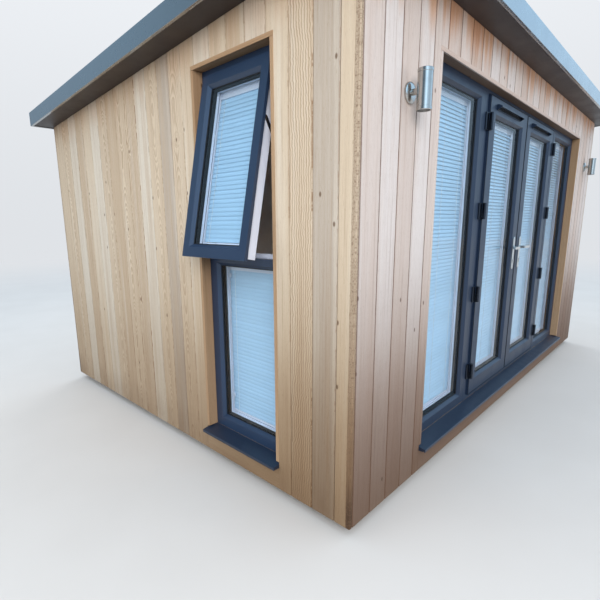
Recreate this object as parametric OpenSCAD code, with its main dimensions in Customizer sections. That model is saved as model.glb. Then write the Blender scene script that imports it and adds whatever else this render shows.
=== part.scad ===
// Garden office pod: timber clad box with a shallow single-slope roof, a French door set
// with two side lights in the long front wall, and a tall narrow window in the left wall.
// Millimetres. X runs along the front wall to the right, Y runs from front to back, Z is up.
// Ground is at Z = 0. The origin is the centre of the walls in plan.

/* [Body] */
// Width over the cladding, along the front
body_w = 4270; // [3400:10:6000]
// Depth over the cladding, front to back
body_d = 3015; // [2400:5:4000]
// Height of the front cladding, from its lower edge to the soffit
wall_h = 2300; // [2000:10:2500]
// Height of the cladding's lower edge over the ground
base_gap = 50; // [20:5:120]
// Thickness of the cladding boards
clad_t = 20; // [14:1:28]
// Whole wall thickness, cladding included
wall_t = 150; // [130:5:220]

/* [Floor] */
// Floor surface over the cladding's lower edge
floor_z = 150; // [130:5:200]
// Thickness of the floor deck
deck_t = 22; // [15:1:30]
// Thickness of the insulated floor panel
panel_t = 100; // [60:5:140]
// Width of one bearer under the floor
bearer_w = 95; // [70:5:150]
// Number of bearers
bearer_n = 7; // [5:2:9]
// Distance of the bearers' ends from the edge of the floor panel
bearer_in = 40; // [20:5:120]
// Distance of the first and last bearer from the edge of the floor panel
bearer_edge = 20; // [10:5:60]

/* [Roof] */
// Fall of the roof from front to back, in degrees
roof_fall = 3.66; // [1:0.01:8]
// Overhang at the two sides
over_side = 160; // [60:5:300]
// Overhang at the front
over_front = 156; // [60:2:300]
// Overhang at the back
over_back = 33; // [25:1:150]
// Thickness of the soffit boards
soffit_t = 12; // [9:1:18]
// Thickness of the insulated roof panel
roof_t = 80; // [60:5:160]
// Thickness of the roof covering
cover_t = 5; // [2:1:10]
// Thickness of the fascia boards
fascia_t = 18; // [12:1:24]
// How far the fascia hangs below the soffit
fascia_drop = 4; // [0:1:20]
// Seating clearance between the walls and the sloping roof panel
seat = 0.1; // [0.05:0.05:0.3]
// Open joint where one fascia or soffit board meets the next
board_gap = 0.2; // [0.1:0.1:1]

/* [Openings] */
// How far the door opening lies right of the middle of the front wall
door_shift = 6; // [-100:1:100]
// Width of the door opening
door_w = 2984; // [2400:2:3600]
// Height of front wall left over the door opening
door_band = 224; // [180:2:400]
// Near edge of the window opening, from the front left corner
win_y0 = 452; // [300:2:1500]
// Width of the window opening
win_w = 558; // [450:2:900]
// Distance of the window opening's head below the front soffit
win_band = 217; // [180:1:400]
// Thickness of the timber reveal boards
liner_t = 20; // [14:1:28]
// How far the reveal boards stand out of the cladding
liner_proud = 2; // [1:1:6]
// Depth from the cladding's face to the face of the plastic frames
recess = 56; // [30:1:60]

/* [Cills] */
// How far a cill reaches out of the cladding
cill_out = 38; // [25:1:60]
// Height of a cill's front face
cill_face = 16; // [10:1:18]
// Depth of a cill's nose below the floor deck
cill_under = 10; // [6:1:14]
// Distance of the drip groove behind the cill's nose
drip_in = 8; // [5:1:14]
// Width and depth of the drip groove
drip_w = 4; // [2:1:6]

/* [Frames] */
// Depth of the plastic frames
frame_d = 70; // [66:1:90]
// Width of a glazed frame up to the edge of its glass
sight = 72; // [60:1:90]
// Width of the bevel beside the glass
bevel = 16; // [8:1:20]
// Glass set back behind the face
glass_back = 22; // [20:1:26]
// Thickness of a sealed glass unit
glass_t = 28; // [20:1:30]
// Depth of the glass edge held in the frame
glass_bite = 12; // [8:1:20]
// Clearance behind the edge of the glass
groove_play = 2; // [1:1:5]
// Width of the rounded inner bead seen from the room
bead = 10; // [6:1:12]
// Width of one side light's frame
side_w = 700; // [400:5:900]
// Face of the door frame's upright beside a leaf
door_jamb = 51; // [40:1:80]
// Height of the door frame's threshold
threshold = 26; // [18:1:40]
// Slope cut off the threshold's outer edge
threshold_slope = 8; // [4:1:12]
// Face of the door frame's head over the leaves
door_top = 19; // [15:1:60]
// Height of the stop lip behind the leaves at the sides
lip_side = 15; // [8:1:25]
// Height of the stop lip behind the leaves at the head
lip_top = 30; // [15:1:40]
// Height of the stop lip behind the leaves at the threshold
lip_low = 8; // [5:1:15]
// Rounding of the frame's working edges
edge = 2; // [1:0.5:3]

/* [Leaves] */
// Clearance round a leaf
leaf_gap = 5; // [4:0.5:7]
// Clearance between the two leaves
meet_gap = 6; // [5:0.5:10]
// How far a leaf stands proud of the frame's face
proud = 12; // [10:1:20]
// Depth of a leaf
leaf_d = 66; // [62:1:68]
// Width of a leaf's stiles and rails up to the glass
leaf_sight = 112; // [100:1:130]
// How much narrower a leaf is at its back, on the meeting side
meet_taper = 6; // [5:0.5:10]
// Depth of the full width part of a leaf's meeting edge
meet_face = 8; // [5:1:12]

/* [Hinges] */
// Distance of the lowest hinge's middle from the leaf's lower edge
hinge_low = 169; // [120:1:300]
// Distance of the highest hinge's middle from the leaf's top
hinge_high = 151; // [120:1:300]
// Number of hinges on a leaf
hinge_n = 4; // [3:1:5]
// Height of one hinge
hinge_h = 98; // [80:2:130]
// Distance of the hinge axis in front of the leaf's face
axis_out = 14; // [12:1:18]
// Radius of the hinge barrel
barrel_r = 9; // [7:0.5:10]
// Radius of the hinge pin
pin_r = 4; // [3:0.5:5]
// Width of a hinge's flag
flag_w = 33; // [25:1:40]
// Thickness of the flag on the frame
flag_t = 10; // [8:1:12]
// Thickness of the flag on the leaf
leaf_flag_t = 5; // [4:1:6]
// Running clearance between a pin or spindle and its bore
run = 0.05; // [0.02:0.01:0.1]
// Gap between the two barrels and behind the levers
slip = 0.3; // [0.2:0.1:1]

/* [Handles] */
// Distance of the handles from the meeting edge
handle_in = 65; // [50:1:78]
// Height of the lever's axis over the cladding's lower edge
lever_z = 1130; // [900:5:1250]
// Length of a handle plate
plate_len = 236; // [200:2:280]
// Width of a handle plate
plate_w = 30; // [26:1:40]
// Thickness of a handle plate
plate_t = 8; // [6:1:12]
// Bevel round a handle plate
plate_bevel = 2; // [1:0.5:3]
// Distance of the plate's top over the lever's axis
plate_up = 78; // [50:1:100]
// Distance of the lock cylinder below the lever's axis
lock_drop = 92; // [70:1:110]
// Radius of the round part of the lock cylinder
lock_r = 8.5; // [8:0.5:9]
// Width of the lock cylinder's foot
lock_foot = 10; // [8:0.5:11]
// Whole height of the lock cylinder
lock_h = 33; // [30:0.5:34]
// How far the lock cylinder stands out of its plate
lock_out = 4; // [1:0.5:6]
// Length of a lever
lever_len = 108; // [90:2:140]
// Height of a lever
lever_h = 18; // [14:1:24]
// Thickness of a lever
lever_t = 12; // [9:1:15]
// Distance of a lever's outer face from its plate
lever_out = 42; // [35:1:60]
// Inside radius of the bend between a lever and its neck
lever_bend = 6; // [3:1:9]
// Radius of the collar at the foot of a lever
collar_r = 12; // [10:0.5:14]
// Thickness of that collar
collar_t = 5; // [3:0.5:8]
// Radius of the spindle
spindle_r = 5; // [4:0.5:6]

/* [Vents] */
// Distance of a vent hood's left end from the left edge of its leaf
vent_in = 110; // [60:1:150]
// Length of a vent hood
vent_l = 452; // [380:1:480]
// Distance of a vent hood's lower edge below the leaf's top
vent_down = 69; // [60:1:75]
// Height of a vent hood
vent_h = 32; // [30:1:40]
// How far a vent hood stands out of the leaf
vent_out = 30; // [20:1:32]
// Wall of a vent hood
vent_t = 4; // [2:0.5:5]
// Fall of a vent hood's sloping top
vent_fall = 12; // [8:1:12]
// Height of a vent hood's front edge over the foot of its back plate
vent_lip = 13; // [8:1:14]

/* [Window] */
// Face width of the window frame beside the open sash
win_jamb = 41; // [38:1:50]
// Top of the transom between the two lights, over the cladding's lower edge
transom_top = 1153; // [800:1:1500]
// Height of the lip that is left behind the sash when its rebate is cut into the transom
transom_lip = 21; // [14:1:30]
// Margin of window frame left in view round the sash
sash_margin = 33; // [28:1:34]
// How far the closed sash stands proud of its frame's face
sash_proud = 18; // [14:1:20]
// How far the sash laps over the transom
sash_lap = 8; // [5:1:12]
// Clearance between the body of the sash and its frame
sash_gap = 4; // [3:0.5:6]
// Width of a sash member up to its glass
sash_sight = 65; // [60:1:80]
// Depth of the sash
sash_d = 72; // [64:1:74]
// Glass of the sash set back behind its face
sash_back = 20; // [18:1:22]
// Thickness of the glass unit in the sash
sash_glass_t = 28; // [18:1:28]
// Width of the bevel round the glass of the sash
sash_bevel = 16; // [8:1:16]
// How far the top-hung sash stands open, in degrees
sash_open = 11.6; // [4:0.1:16]
// Depth of the stop behind the sash
stop_t = 12; // [8:1:12]
// Length of the friction stay's track
track_len = 330; // [200:5:400]
// Length of the friction stay's arm
arm_len = 160; // [100:5:180]
// Width of the stay's flat bars
stay_w = 18; // [12:1:22]
// Thickness of the stay's track and of its arm together
stay_t = 4; // [3:0.5:5]
// Distance of the track below the frame's head
stay_down = 80; // [60:5:120]

/* [Blinds] */
// Lap of a blind over the frame beyond the edge of the glass
blind_lap = 14; // [5:1:20]
// Depth of a blind's head box
blind_t = 24; // [20:1:30]
// Height of a blind's head box
head_h = 32; // [25:1:45]
// Height of a blind's bottom rail
rail_h = 15; // [10:1:20]
// Distance from one slat to the next
slat_pitch = 22; // [18:1:24]
// How far each closed slat leans
slat_lean = 6; // [4:0.5:6]
// Thickness of the drop of closed slats
drop_t = 9; // [8:0.5:12]

/* [Lights] */
// Shift of the left wall light to the right of the middle of its wall
light_shift_left = 42.5; // [-100:0.5:100]
// Shift of the right wall light to the right of the middle of its wall
light_shift_right = 8.5; // [-100:0.5:100]
// Height of the light's wall plate over the cladding's lower edge
light_z = 1845; // [1600:5:1900]
// Radius of the light's wall plate
rose_r = 43; // [35:1:55]
// Thickness of the wall plate's rim
rose_rim = 6; // [3:0.5:8]
// Height of the wall plate's dome over its rim
rose_dome = 12; // [6:1:18]
// Radius of the arm
arm_r = 13; // [9:0.5:16]
// Radius of the light's tube
tube_r = 30; // [25:1:45]
// Height of the light's tube
tube_h = 156; // [120:2:240]
// Distance of the tube's middle from the cladding
light_out = 68; // [60:1:100]
// Height of the end rings on the tube
ring_h = 14; // [8:1:20]
// How far the end rings stand out of the tube
ring_out = 1.5; // [0.5:0.5:3]
// Wall of the tube round its lens
tube_wall = 4; // [2:0.5:6]
// Depth of the lens inside the end of the tube
lens_in = 10; // [4:1:14]

/* [Hidden] */
eps = 0.01;
fall = tan(roof_fall);
lay_panel = soffit_t;
lay_cover = soffit_t + roof_t;
lay_top = soffit_t + roof_t + cover_t;
rx0 = -over_side;
rx1 = body_w + over_side;
ry0 = -over_front;
ry1 = body_d + over_back;
door_x0 = (body_w - door_w)/2 + door_shift;
door_x1 = door_x0 + door_w;
door_head = wall_h - door_band;
win_y1 = win_y0 + win_w;
win_head = wall_h - win_band;
rough_x0 = door_x0 - liner_t;
rough_x1 = door_x1 + liner_t;
rough_y0 = win_y0 - liner_t;
rough_y1 = win_y1 + liner_t;
cill_z = floor_z - deck_t - cill_under;
fy0 = recess;
fy1 = recess + frame_d;
dfx0 = door_x0 + side_w;
dfx1 = door_x1 - side_w;
leaf_y0 = recess - proud;
leaf_y1 = leaf_y0 + leaf_d;
stop_y = leaf_y1 + leaf_gap;
leaf_z0 = floor_z + threshold + leaf_gap;
leaf_z1 = door_head - door_top - leaf_gap;
leaf_x0 = dfx0 + door_jamb + leaf_gap;
leaf_x3 = dfx1 - door_jamb - leaf_gap;
meet_x = (leaf_x0 + leaf_x3)/2;
leaf_x1 = meet_x - meet_gap/2;
leaf_x2 = meet_x + meet_gap/2;
hinge_z0 = leaf_z0 + hinge_low;
hinge_step = (leaf_z1 - hinge_high - hinge_z0)/(hinge_n - 1);
axis_y = leaf_y0 - axis_out;
axis_xl = leaf_x0 - leaf_gap/2;
axis_xr = leaf_x3 + leaf_gap/2;
sash_y0 = win_y0 + sash_margin;
sash_w = win_w - 2*sash_margin;
sash_top = win_head - sash_margin;
sash_h = sash_top - transom_top + sash_lap;
sash_body = win_jamb - sash_margin + sash_gap;
sash_foot = sash_lap + sash_gap;
light_top = transom_top + transom_lip;

// Soffit height at a depth y behind the front cladding
function sz(y) = wall_h - y*fall;

// Everything below is drawn from the lower front left corner of the cladding
module at_corner() {
  translate([-body_w/2, -body_d/2, base_gap]) children();
}

// Box from one corner to the other
module span(a, b) {
  translate(a) cube([b[0] - a[0], b[1] - a[1], b[2] - a[2]]);
}

// Outline drawn in Y and Z, drawn out along X
module along_x(x0, x1, pts) {
  translate([x0, 0, 0]) rotate([90, 0, 90]) linear_extrude(height = x1 - x0) polygon(pts);
}

// Outline drawn in X and Y, drawn out upwards
module upright(z0, z1, pts) {
  translate([0, 0, z0]) linear_extrude(height = z1 - z0) polygon(pts);
}

// Mirrors what is drawn for the left side about the plane at x, when s is negative
module mirror_at(x, s) {
  translate([x, 0, 0]) mirror([s < 0 ? 1 : 0, 0, 0]) translate([-x, 0, 0]) children();
}

// Layer that follows the roof's fall, between two heights over the soffit plane
module roof_layer(x0, x1, y0, y1, lo, hi) {
  along_x(x0, x1, [[y0, sz(y0) + lo], [y1, sz(y1) + lo], [y1, sz(y1) + hi], [y0, sz(y0) + hi]]);
}

// Wall from a level bottom up to the underside of the roof panel
module wall_block(x0, x1, y0, y1, z0) {
  top = lay_panel - seat;
  along_x(x0, x1, [[y0, z0], [y1, z0], [y1, sz(y1) + top], [y0, sz(y0) + top]]);
}

// Four members round an opening in the XZ plane; pts is the section, first the distance
// in from the outer edge, then the depth
module ring_xz(x0, x1, z0, z1, pts) {
  upright(z0, z1, [for (p = pts) [x0 + p[0], p[1]]]);
  upright(z0, z1, [for (p = pts) [x1 - p[0], p[1]]]);
  along_x(x0, x1, [for (p = pts) [p[1], z0 + p[0]]]);
  along_x(x0, x1, [for (p = pts) [p[1], z1 - p[0]]]);
}

// Section of a glazed member: w wide up to the glass, d deep, bevelled by b at the front,
// with a groove for a unit g thick that lies s behind the face
function glazed(w, d, b, s, g) = [[0, 0], [w - b, 0], [w, b], [w, s],
  [w - glass_bite - groove_play, s], [w - glass_bite - groove_play, s + g], [w, s + g],
  [w, d - bead/2], [w - bead/2, d], [0, d]];

// The same section, moved back by y
function set_back(pts, y) = [for (p = pts) [p[0], p[1] + y]];

// Section of a frame member with a stop lip behind a leaf: face f, lip l, front bevel b
function rebated(f, l, b) = [[0, fy0], [f - b, fy0], [f, fy0 + b], [f, stop_y],
  [f + l - edge, stop_y], [f + l, stop_y + edge], [f + l, fy1], [0, fy1]];

// Base and floor
module base_bearers() {
  x0 = clad_t + bearer_in;
  y0 = clad_t + bearer_edge;
  step = (body_d - 2*y0 - bearer_w)/(bearer_n - 1);
  color([0.30, 0.25, 0.19]) at_corner()
    for (i = [0:bearer_n - 1])
      span([x0, y0 + i*step, -base_gap],
        [body_w - x0, y0 + i*step + bearer_w, floor_z - deck_t - panel_t]);
}

module floor_panel() {
  color([0.35, 0.30, 0.24]) at_corner()
    span([clad_t, clad_t, floor_z - deck_t - panel_t],
      [body_w - clad_t, body_d - clad_t, floor_z - deck_t]);
}

module floor_deck() {
  color([0.62, 0.50, 0.38]) at_corner() difference() {
    span([clad_t, clad_t, floor_z - deck_t], [body_w - clad_t, body_d - clad_t, floor_z]);
    span([rough_x0, clad_t - 1, floor_z - deck_t - 1], [rough_x1, recess, floor_z + 1]);
    span([clad_t - 1, rough_y0, floor_z - deck_t - 1], [recess, rough_y1, floor_z + 1]);
  }
}

// Walls
module front_wall() {
  color([0.80, 0.79, 0.76]) at_corner() difference() {
    wall_block(clad_t, body_w - clad_t, clad_t, wall_t, floor_z);
    span([rough_x0, 0, floor_z - 1], [rough_x1, wall_t + 1, door_head + liner_t]);
  }
}

module left_wall() {
  color([0.80, 0.79, 0.76]) at_corner() difference() {
    wall_block(clad_t, wall_t, wall_t, body_d - wall_t, floor_z);
    span([0, rough_y0, floor_z - 1], [wall_t + 1, rough_y1, win_head + liner_t]);
  }
}

module right_wall() {
  color([0.80, 0.79, 0.76]) at_corner()
    wall_block(body_w - wall_t, body_w - clad_t, wall_t, body_d - wall_t, floor_z);
}

module rear_wall() {
  color([0.80, 0.79, 0.76]) at_corner()
    wall_block(clad_t, body_w - clad_t, body_d - wall_t, body_d - clad_t, floor_z);
}

// Cladding
module front_cladding() {
  color([0.72, 0.63, 0.53]) at_corner() difference() {
    wall_block(0, body_w, 0, clad_t, 0);
    span([rough_x0, -1, cill_z], [rough_x1, clad_t + 1, door_head + liner_t]);
  }
}

module left_cladding() {
  color([0.76, 0.68, 0.58]) at_corner() difference() {
    wall_block(0, clad_t, clad_t, body_d - clad_t, 0);
    span([-1, rough_y0, cill_z], [clad_t + 1, rough_y1, win_head + liner_t]);
  }
}

module right_cladding() {
  color([0.72, 0.63, 0.53]) at_corner()
    wall_block(body_w - clad_t, body_w, clad_t, body_d - clad_t, 0);
}

module rear_cladding() {
  color([0.72, 0.63, 0.53]) at_corner() wall_block(0, body_w, body_d - clad_t, body_d, 0);
}

// Roof
module roof_panel() {
  color([0.86, 0.86, 0.84]) at_corner()
    roof_layer(rx0 + fascia_t, rx1 - fascia_t, ry0 + fascia_t, ry1 - fascia_t, lay_panel,
      lay_cover);
}

module roof_covering() {
  color([0.12, 0.12, 0.13]) at_corner()
    roof_layer(rx0 + fascia_t, rx1 - fascia_t, ry0 + fascia_t, ry1 - fascia_t, lay_cover,
      lay_top);
}

module fascia() {
  y0 = ry0 + fascia_t;
  y1 = ry1 - fascia_t;
  color([0.22, 0.25, 0.30]) at_corner() {
    roof_layer(rx0, rx1, ry0, y0, -fascia_drop, lay_top);
    roof_layer(rx0, rx1, y1, ry1, -fascia_drop, lay_top);
    roof_layer(rx0, rx0 + fascia_t, y0 + board_gap, y1 - board_gap, -fascia_drop, lay_top);
    roof_layer(rx1 - fascia_t, rx1, y0 + board_gap, y1 - board_gap, -fascia_drop, lay_top);
  }
}

module soffit() {
  x0 = rx0 + fascia_t;
  x1 = rx1 - fascia_t;
  top = lay_panel - seat;
  color([0.20, 0.20, 0.21]) at_corner() {
    roof_layer(x0, x1, ry0 + fascia_t, 0, 0, top);
    roof_layer(x0, x1, body_d, ry1 - fascia_t, 0, top);
    roof_layer(x0, 0, board_gap, body_d - board_gap, 0, top);
    roof_layer(body_w, x1, board_gap, body_d - board_gap, 0, top);
  }
}

// Timber boards that line an opening, w wide from x0, up to a head at z1
module lining(x0, w, z1) {
  span([x0 - liner_t, -liner_proud, z1], [x0 + w + liner_t, wall_t, z1 + liner_t]);
  span([x0 - liner_t, -liner_proud, floor_z], [x0, wall_t, z1 + eps]);
  span([x0 + w, -liner_proud, floor_z], [x0 + w + liner_t, wall_t, z1 + eps]);
}

// Cill with a sloping top, a raised back edge under the frame and a drip groove
module cill_bar(x0, x1) {
  drip = -cill_out + drip_in;
  along_x(x0, x1, [[recess, floor_z - deck_t], [clad_t, floor_z - deck_t], [clad_t, cill_z],
    [drip + drip_w, cill_z], [drip + drip_w, cill_z + drip_w], [drip, cill_z + drip_w],
    [drip, cill_z], [-cill_out, cill_z], [-cill_out, cill_z + cill_face - edge],
    [-cill_out + edge, cill_z + cill_face], [recess - edge, floor_z - edge/2],
    [recess, floor_z]]);
}

// Box outline, rounded off at its lower corners, for a blind's head box or bottom rail
function rail_outline(y0, d, z0, z1) = [[y0, z1], [y0, z0 + edge], [y0 + edge, z0],
  [y0 + d - edge, z0], [y0 + d, z0 + edge], [y0 + d, z1]];

// Blind: head box, bottom rail and the drop of closed slats between them, as one piece
module blind_xz(x0, x1, z0, z1, y0) {
  low = z0 + rail_h;
  high = z1 - head_h;
  n = floor((high - low)/slat_pitch);
  step = (high - low)/n;
  face = [for (i = [0:n - 1], e = [0, 1]) [y0 + 2 + (1 - e)*slat_lean, low + (i + e)*step]];
  back = [for (i = [2*n - 1:-1:0]) [face[i][0] + drop_t, face[i][1]]];
  along_x(x0, x1, concat(face, back));
  along_x(x0, x1, rail_outline(y0, blind_t, high - eps, z1));
  along_x(x0, x1, rail_outline(y0, blind_t*3/4, z0, low + eps));
}

// Blind behind a fixed frame between x0 and x1, z0 and z1
module frame_blind(x0, x1, z0, z1) {
  in = sight - blind_lap;
  blind_xz(x0 + in, x1 - in, z0 + in, z1 - in, fy1);
}

// Sealed glass unit in a fixed frame
module frame_glass(x0, x1, z0, z1) {
  in = sight - glass_bite;
  span([x0 + in, fy0 + glass_back, z0 + in], [x1 - in, fy0 + glass_back + glass_t, z1 - in]);
}

function fixed_section() = set_back(glazed(sight, frame_d, bevel, glass_back, glass_t), fy0);

// Door opening
module door_reveal() {
  color([0.68, 0.55, 0.42]) at_corner() lining(door_x0, door_w, door_head);
}

module door_cill() {
  color([0.22, 0.25, 0.30]) at_corner() cill_bar(rough_x0, rough_x1);
}

module sidelight_frames() {
  color([0.22, 0.25, 0.30]) at_corner() {
    ring_xz(door_x0, dfx0, floor_z, door_head, fixed_section());
    ring_xz(dfx1, door_x1, floor_z, door_head, fixed_section());
  }
}

module sidelight_glass() {
  color([0.75, 0.85, 0.90, 0.35]) at_corner() {
    frame_glass(door_x0, dfx0, floor_z, door_head);
    frame_glass(dfx1, door_x1, floor_z, door_head);
  }
}

module sidelight_blinds() {
  color([0.86, 0.90, 0.93]) at_corner() {
    frame_blind(door_x0, dfx0, floor_z, door_head);
    frame_blind(dfx1, door_x1, floor_z, door_head);
  }
}

// Frame round the two leaves: two jambs, a head and a low threshold, each with a stop lip
module door_frame() {
  jamb = rebated(door_jamb, lip_side, edge);
  color([0.22, 0.25, 0.30]) at_corner() {
    upright(floor_z, door_head, [for (p = jamb) [dfx0 + p[0], p[1]]]);
    upright(floor_z, door_head, [for (p = jamb) [dfx1 - p[0], p[1]]]);
    along_x(dfx0, dfx1, [for (p = rebated(door_top, lip_top, edge)) [p[1], door_head - p[0]]]);
    along_x(dfx0, dfx1,
      [for (p = rebated(threshold, lip_low, threshold_slope)) [p[1], floor_z + p[0]]]);
  }
}

// Fixed half of a hinge on the left: bevelled flag, web, lower barrel and pin
module hinge_fixed(x, s, z) {
  z0 = z - hinge_h/2;
  end = x - 3;
  translate([x, axis_y, z0]) {
    cylinder(r = barrel_r, h = hinge_h/2 - slip, $fn = 48);
    cylinder(r = pin_r, h = hinge_h - 8, $fn = 48);
  }
  mirror_at(x, s) {
    upright(z0, z0 + hinge_h, [[end - flag_w, fy0], [end - flag_w, fy0 - flag_t + 4],
      [end - flag_w + 4, fy0 - flag_t], [end - edge, fy0 - flag_t], [end, fy0 - flag_t + edge],
      [end, fy0]]);
    upright(z0, z - slip, [[x - barrel_r, fy0 - flag_t + 1], [x - barrel_r, axis_y],
      [x - 1, axis_y], [x - 1, leaf_y0 - 2], [end, fy0 - flag_t + 1]]);
  }
}

module hinge_frame_side() {
  color([0.10, 0.11, 0.13]) at_corner()
    for (i = [0:hinge_n - 1]) {
      hinge_fixed(axis_xl, 1, hinge_z0 + i*hinge_step);
      hinge_fixed(axis_xr, -1, hinge_z0 + i*hinge_step);
    }
}

// Moving half of a hinge on the left: upper barrel, web and bevelled flag on the leaf
module hinge_moving(x, s, z) {
  z0 = z - hinge_h/2;
  root = leaf_y0 - leaf_flag_t;
  end = x + 4 + flag_w - 3;
  difference() {
    union() {
      translate([x, axis_y, z]) cylinder(r = barrel_r, h = hinge_h/2, $fn = 48);
      mirror_at(x, s) {
        upright(z0, z0 + hinge_h, [[x + 6, axis_y], [x + 14, axis_y], [x + 14, root + 1],
          [x + 6, root + 1]]);
        upright(z, z0 + hinge_h, [[x + 2, axis_y], [x + 7, axis_y], [x + 7, root + 1],
          [x + 2, root + 1]]);
        upright(z0, z0 + hinge_h, [[x + 4, leaf_y0], [x + 4, root], [end - 3, root],
          [end, root + 3], [end, leaf_y0]]);
      }
    }
    translate([x, axis_y, z0 - 1]) cylinder(r = pin_r + run, h = hinge_h - 6, $fn = 48);
    translate([x, axis_y, z0 - 1]) cylinder(r = barrel_r + 2, h = hinge_h/2 + 1, $fn = 48);
  }
}

// Leaf with its glazing groove, spindle hole and relieved meeting edge
module leaf(x0, x1, s) {
  hx = s > 0 ? x1 - handle_in : x0 + handle_in;
  section = glazed(leaf_sight, leaf_d, bevel, glass_back, glass_t);
  difference() {
    ring_xz(x0, x1, leaf_z0, leaf_z1, set_back(section, leaf_y0));
    mirror_at((x0 + x1)/2, s) upright(leaf_z0 - 1, leaf_z1 + 1, [[x1, leaf_y0 + meet_face],
      [x1 + 1, leaf_y0 + meet_face], [x1 + 1, leaf_y1 + 1], [x1 - meet_taper, leaf_y1 + 1],
      [x1 - meet_taper, leaf_y1]]);
    translate([hx, leaf_y1 + 1, lever_z]) rotate([90, 0, 0])
      cylinder(r = spindle_r + run, h = leaf_d + 2, $fn = 48);
  }
}

module leaf_glass(x0, x1) {
  in = leaf_sight - glass_bite;
  span([x0 + in, leaf_y0 + glass_back, leaf_z0 + in],
    [x1 - in, leaf_y0 + glass_back + glass_t, leaf_z1 - in]);
}

module leaf_blind(x0, x1) {
  in = leaf_sight - blind_lap;
  blind_xz(x0 + in, x1 - in, leaf_z0 + in, leaf_z1 - in, leaf_y1);
}

// Hooded trickle vent on the head rail: back plate, sloping canopy open below, end caps
module leaf_vent(x0) {
  a = x0 + vent_in;
  b = a + vent_l;
  f = leaf_y0 - vent_out;
  k = leaf_y0 - vent_t;
  h = vent_h;
  cap = [[leaf_y0, 0], [leaf_y0, h], [k - vent_t, h], [f, h - vent_fall], [f, vent_lip],
    [k, 0]];
  hood = [[leaf_y0, 0], [leaf_y0, h], [k - vent_t, h], [f, h - vent_fall], [f, vent_lip],
    [f + vent_t, vent_lip], [f + vent_t, h - vent_fall - 3], [k - vent_t, h - 7], [k, h - 7],
    [k, 0]];
  translate([0, 0, leaf_z1 - vent_down]) {
    along_x(a, b, hood);
    along_x(a, a + vent_t, cap);
    along_x(b - vent_t, b, cap);
  }
}

// Handle plate with round, bevelled ends, drawn in X and Z and standing out along +Y
module plate() {
  r = plate_w/2;
  flat = plate_t - plate_bevel;
  low = plate_up - plate_len + r;
  high = plate_up - r;
  for (z = [low, high]) translate([0, 0, z]) rotate([-90, 0, 0]) {
    cylinder(r = r, h = flat, $fn = 64);
    translate([0, 0, flat]) cylinder(r1 = r, r2 = r - plate_bevel, h = plate_bevel, $fn = 64);
  }
  upright(low, high, [[-r, 0], [r, 0], [r, flat], [r - plate_bevel, plate_t],
    [plate_bevel - r, plate_t], [-r, flat]]);
}

// Lock cylinder: a round core over a narrower foot, drawn the same way as the plate
module lock_end() {
  foot = lock_h - lock_r - lock_foot/2;
  translate([0, plate_t - 1, -lock_drop]) rotate([-90, 0, 0])
    linear_extrude(height = lock_out + 1) {
      circle(r = lock_r, $fn = 48);
      translate([-lock_foot/2, 0]) square([lock_foot, foot]);
      translate([0, foot]) circle(r = lock_foot/2, $fn = 48);
    }
}

module handle_plates(hx) {
  difference() {
    translate([hx, 0, lever_z]) {
      translate([0, leaf_y1, 0]) {
        plate();
        lock_end();
      }
      translate([0, leaf_y0, 0]) mirror([0, 1, 0]) {
        plate();
        lock_end();
      }
    }
    translate([hx, leaf_y1 + plate_t + 1, lever_z]) rotate([90, 0, 0])
      cylinder(r = spindle_r + run, h = leaf_d + 2*plate_t + 2, $fn = 48);
  }
}

// Bent lever, drawn along +X and standing out along +Y from its plate: the bend is seen
// from above, and the round ends are seen from the front
module lever_grip() {
  r = lever_h/2;
  far = lever_len - r;
  knee = lever_out - lever_t - lever_bend;
  outer = [for (a = [180:-15:90]) [r*cos(a), lever_out - r + r*sin(a)]];
  inner = [for (a = [90:15:180]) [r + lever_bend + lever_bend*cos(a),
    knee + lever_bend*sin(a)]];
  intersection() {
    upright(-r, r, concat([[-r, 0]], outer, [[far + r, lever_out],
      [far + r, lever_out - lever_t]], inner, [[r, 0]]));
    union() {
      rotate([-90, 0, 0]) cylinder(r = r, h = lever_out, $fn = 64);
      span([0, 0, -r], [far, lever_out, r]);
      translate([far, 0, 0]) rotate([-90, 0, 0]) cylinder(r = r, h = lever_out, $fn = 64);
    }
  }
  rotate([-90, 0, 0]) cylinder(r = collar_r, h = collar_t, $fn = 64);
}

// Both levers on one spindle; s is the side that the levers point to
module lever(hx, s) {
  out0 = leaf_y0 - plate_t - slip;
  in0 = leaf_y1 + plate_t + slip;
  translate([hx, 0, lever_z]) {
    translate([0, in0 + 1, 0]) rotate([90, 0, 0])
      cylinder(r = spindle_r, h = in0 - out0 + 2, $fn = 48);
    translate([0, in0, 0]) mirror_at(0, s) lever_grip();
    translate([0, out0, 0]) mirror([0, 1, 0]) mirror_at(0, s) lever_grip();
  }
}

module left_leaf() {
  color([0.22, 0.25, 0.30]) at_corner() leaf(leaf_x0, leaf_x1, 1);
}

module left_leaf_glass() {
  color([0.75, 0.85, 0.90, 0.35]) at_corner() leaf_glass(leaf_x0, leaf_x1);
}

module left_leaf_blind() {
  color([0.86, 0.90, 0.93]) at_corner() leaf_blind(leaf_x0, leaf_x1);
}

module left_leaf_vent() {
  color([0.22, 0.25, 0.30]) at_corner() leaf_vent(leaf_x0);
}

module left_leaf_hinges() {
  color([0.10, 0.11, 0.13]) at_corner()
    for (i = [0:hinge_n - 1]) hinge_moving(axis_xl, 1, hinge_z0 + i*hinge_step);
}

module left_handle_plates() {
  color([0.78, 0.78, 0.77]) at_corner() handle_plates(leaf_x1 - handle_in);
}

module left_lever() {
  color([0.80, 0.80, 0.79]) at_corner() lever(leaf_x1 - handle_in, -1);
}

module right_leaf() {
  color([0.22, 0.25, 0.30]) at_corner() leaf(leaf_x2, leaf_x3, -1);
}

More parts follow.
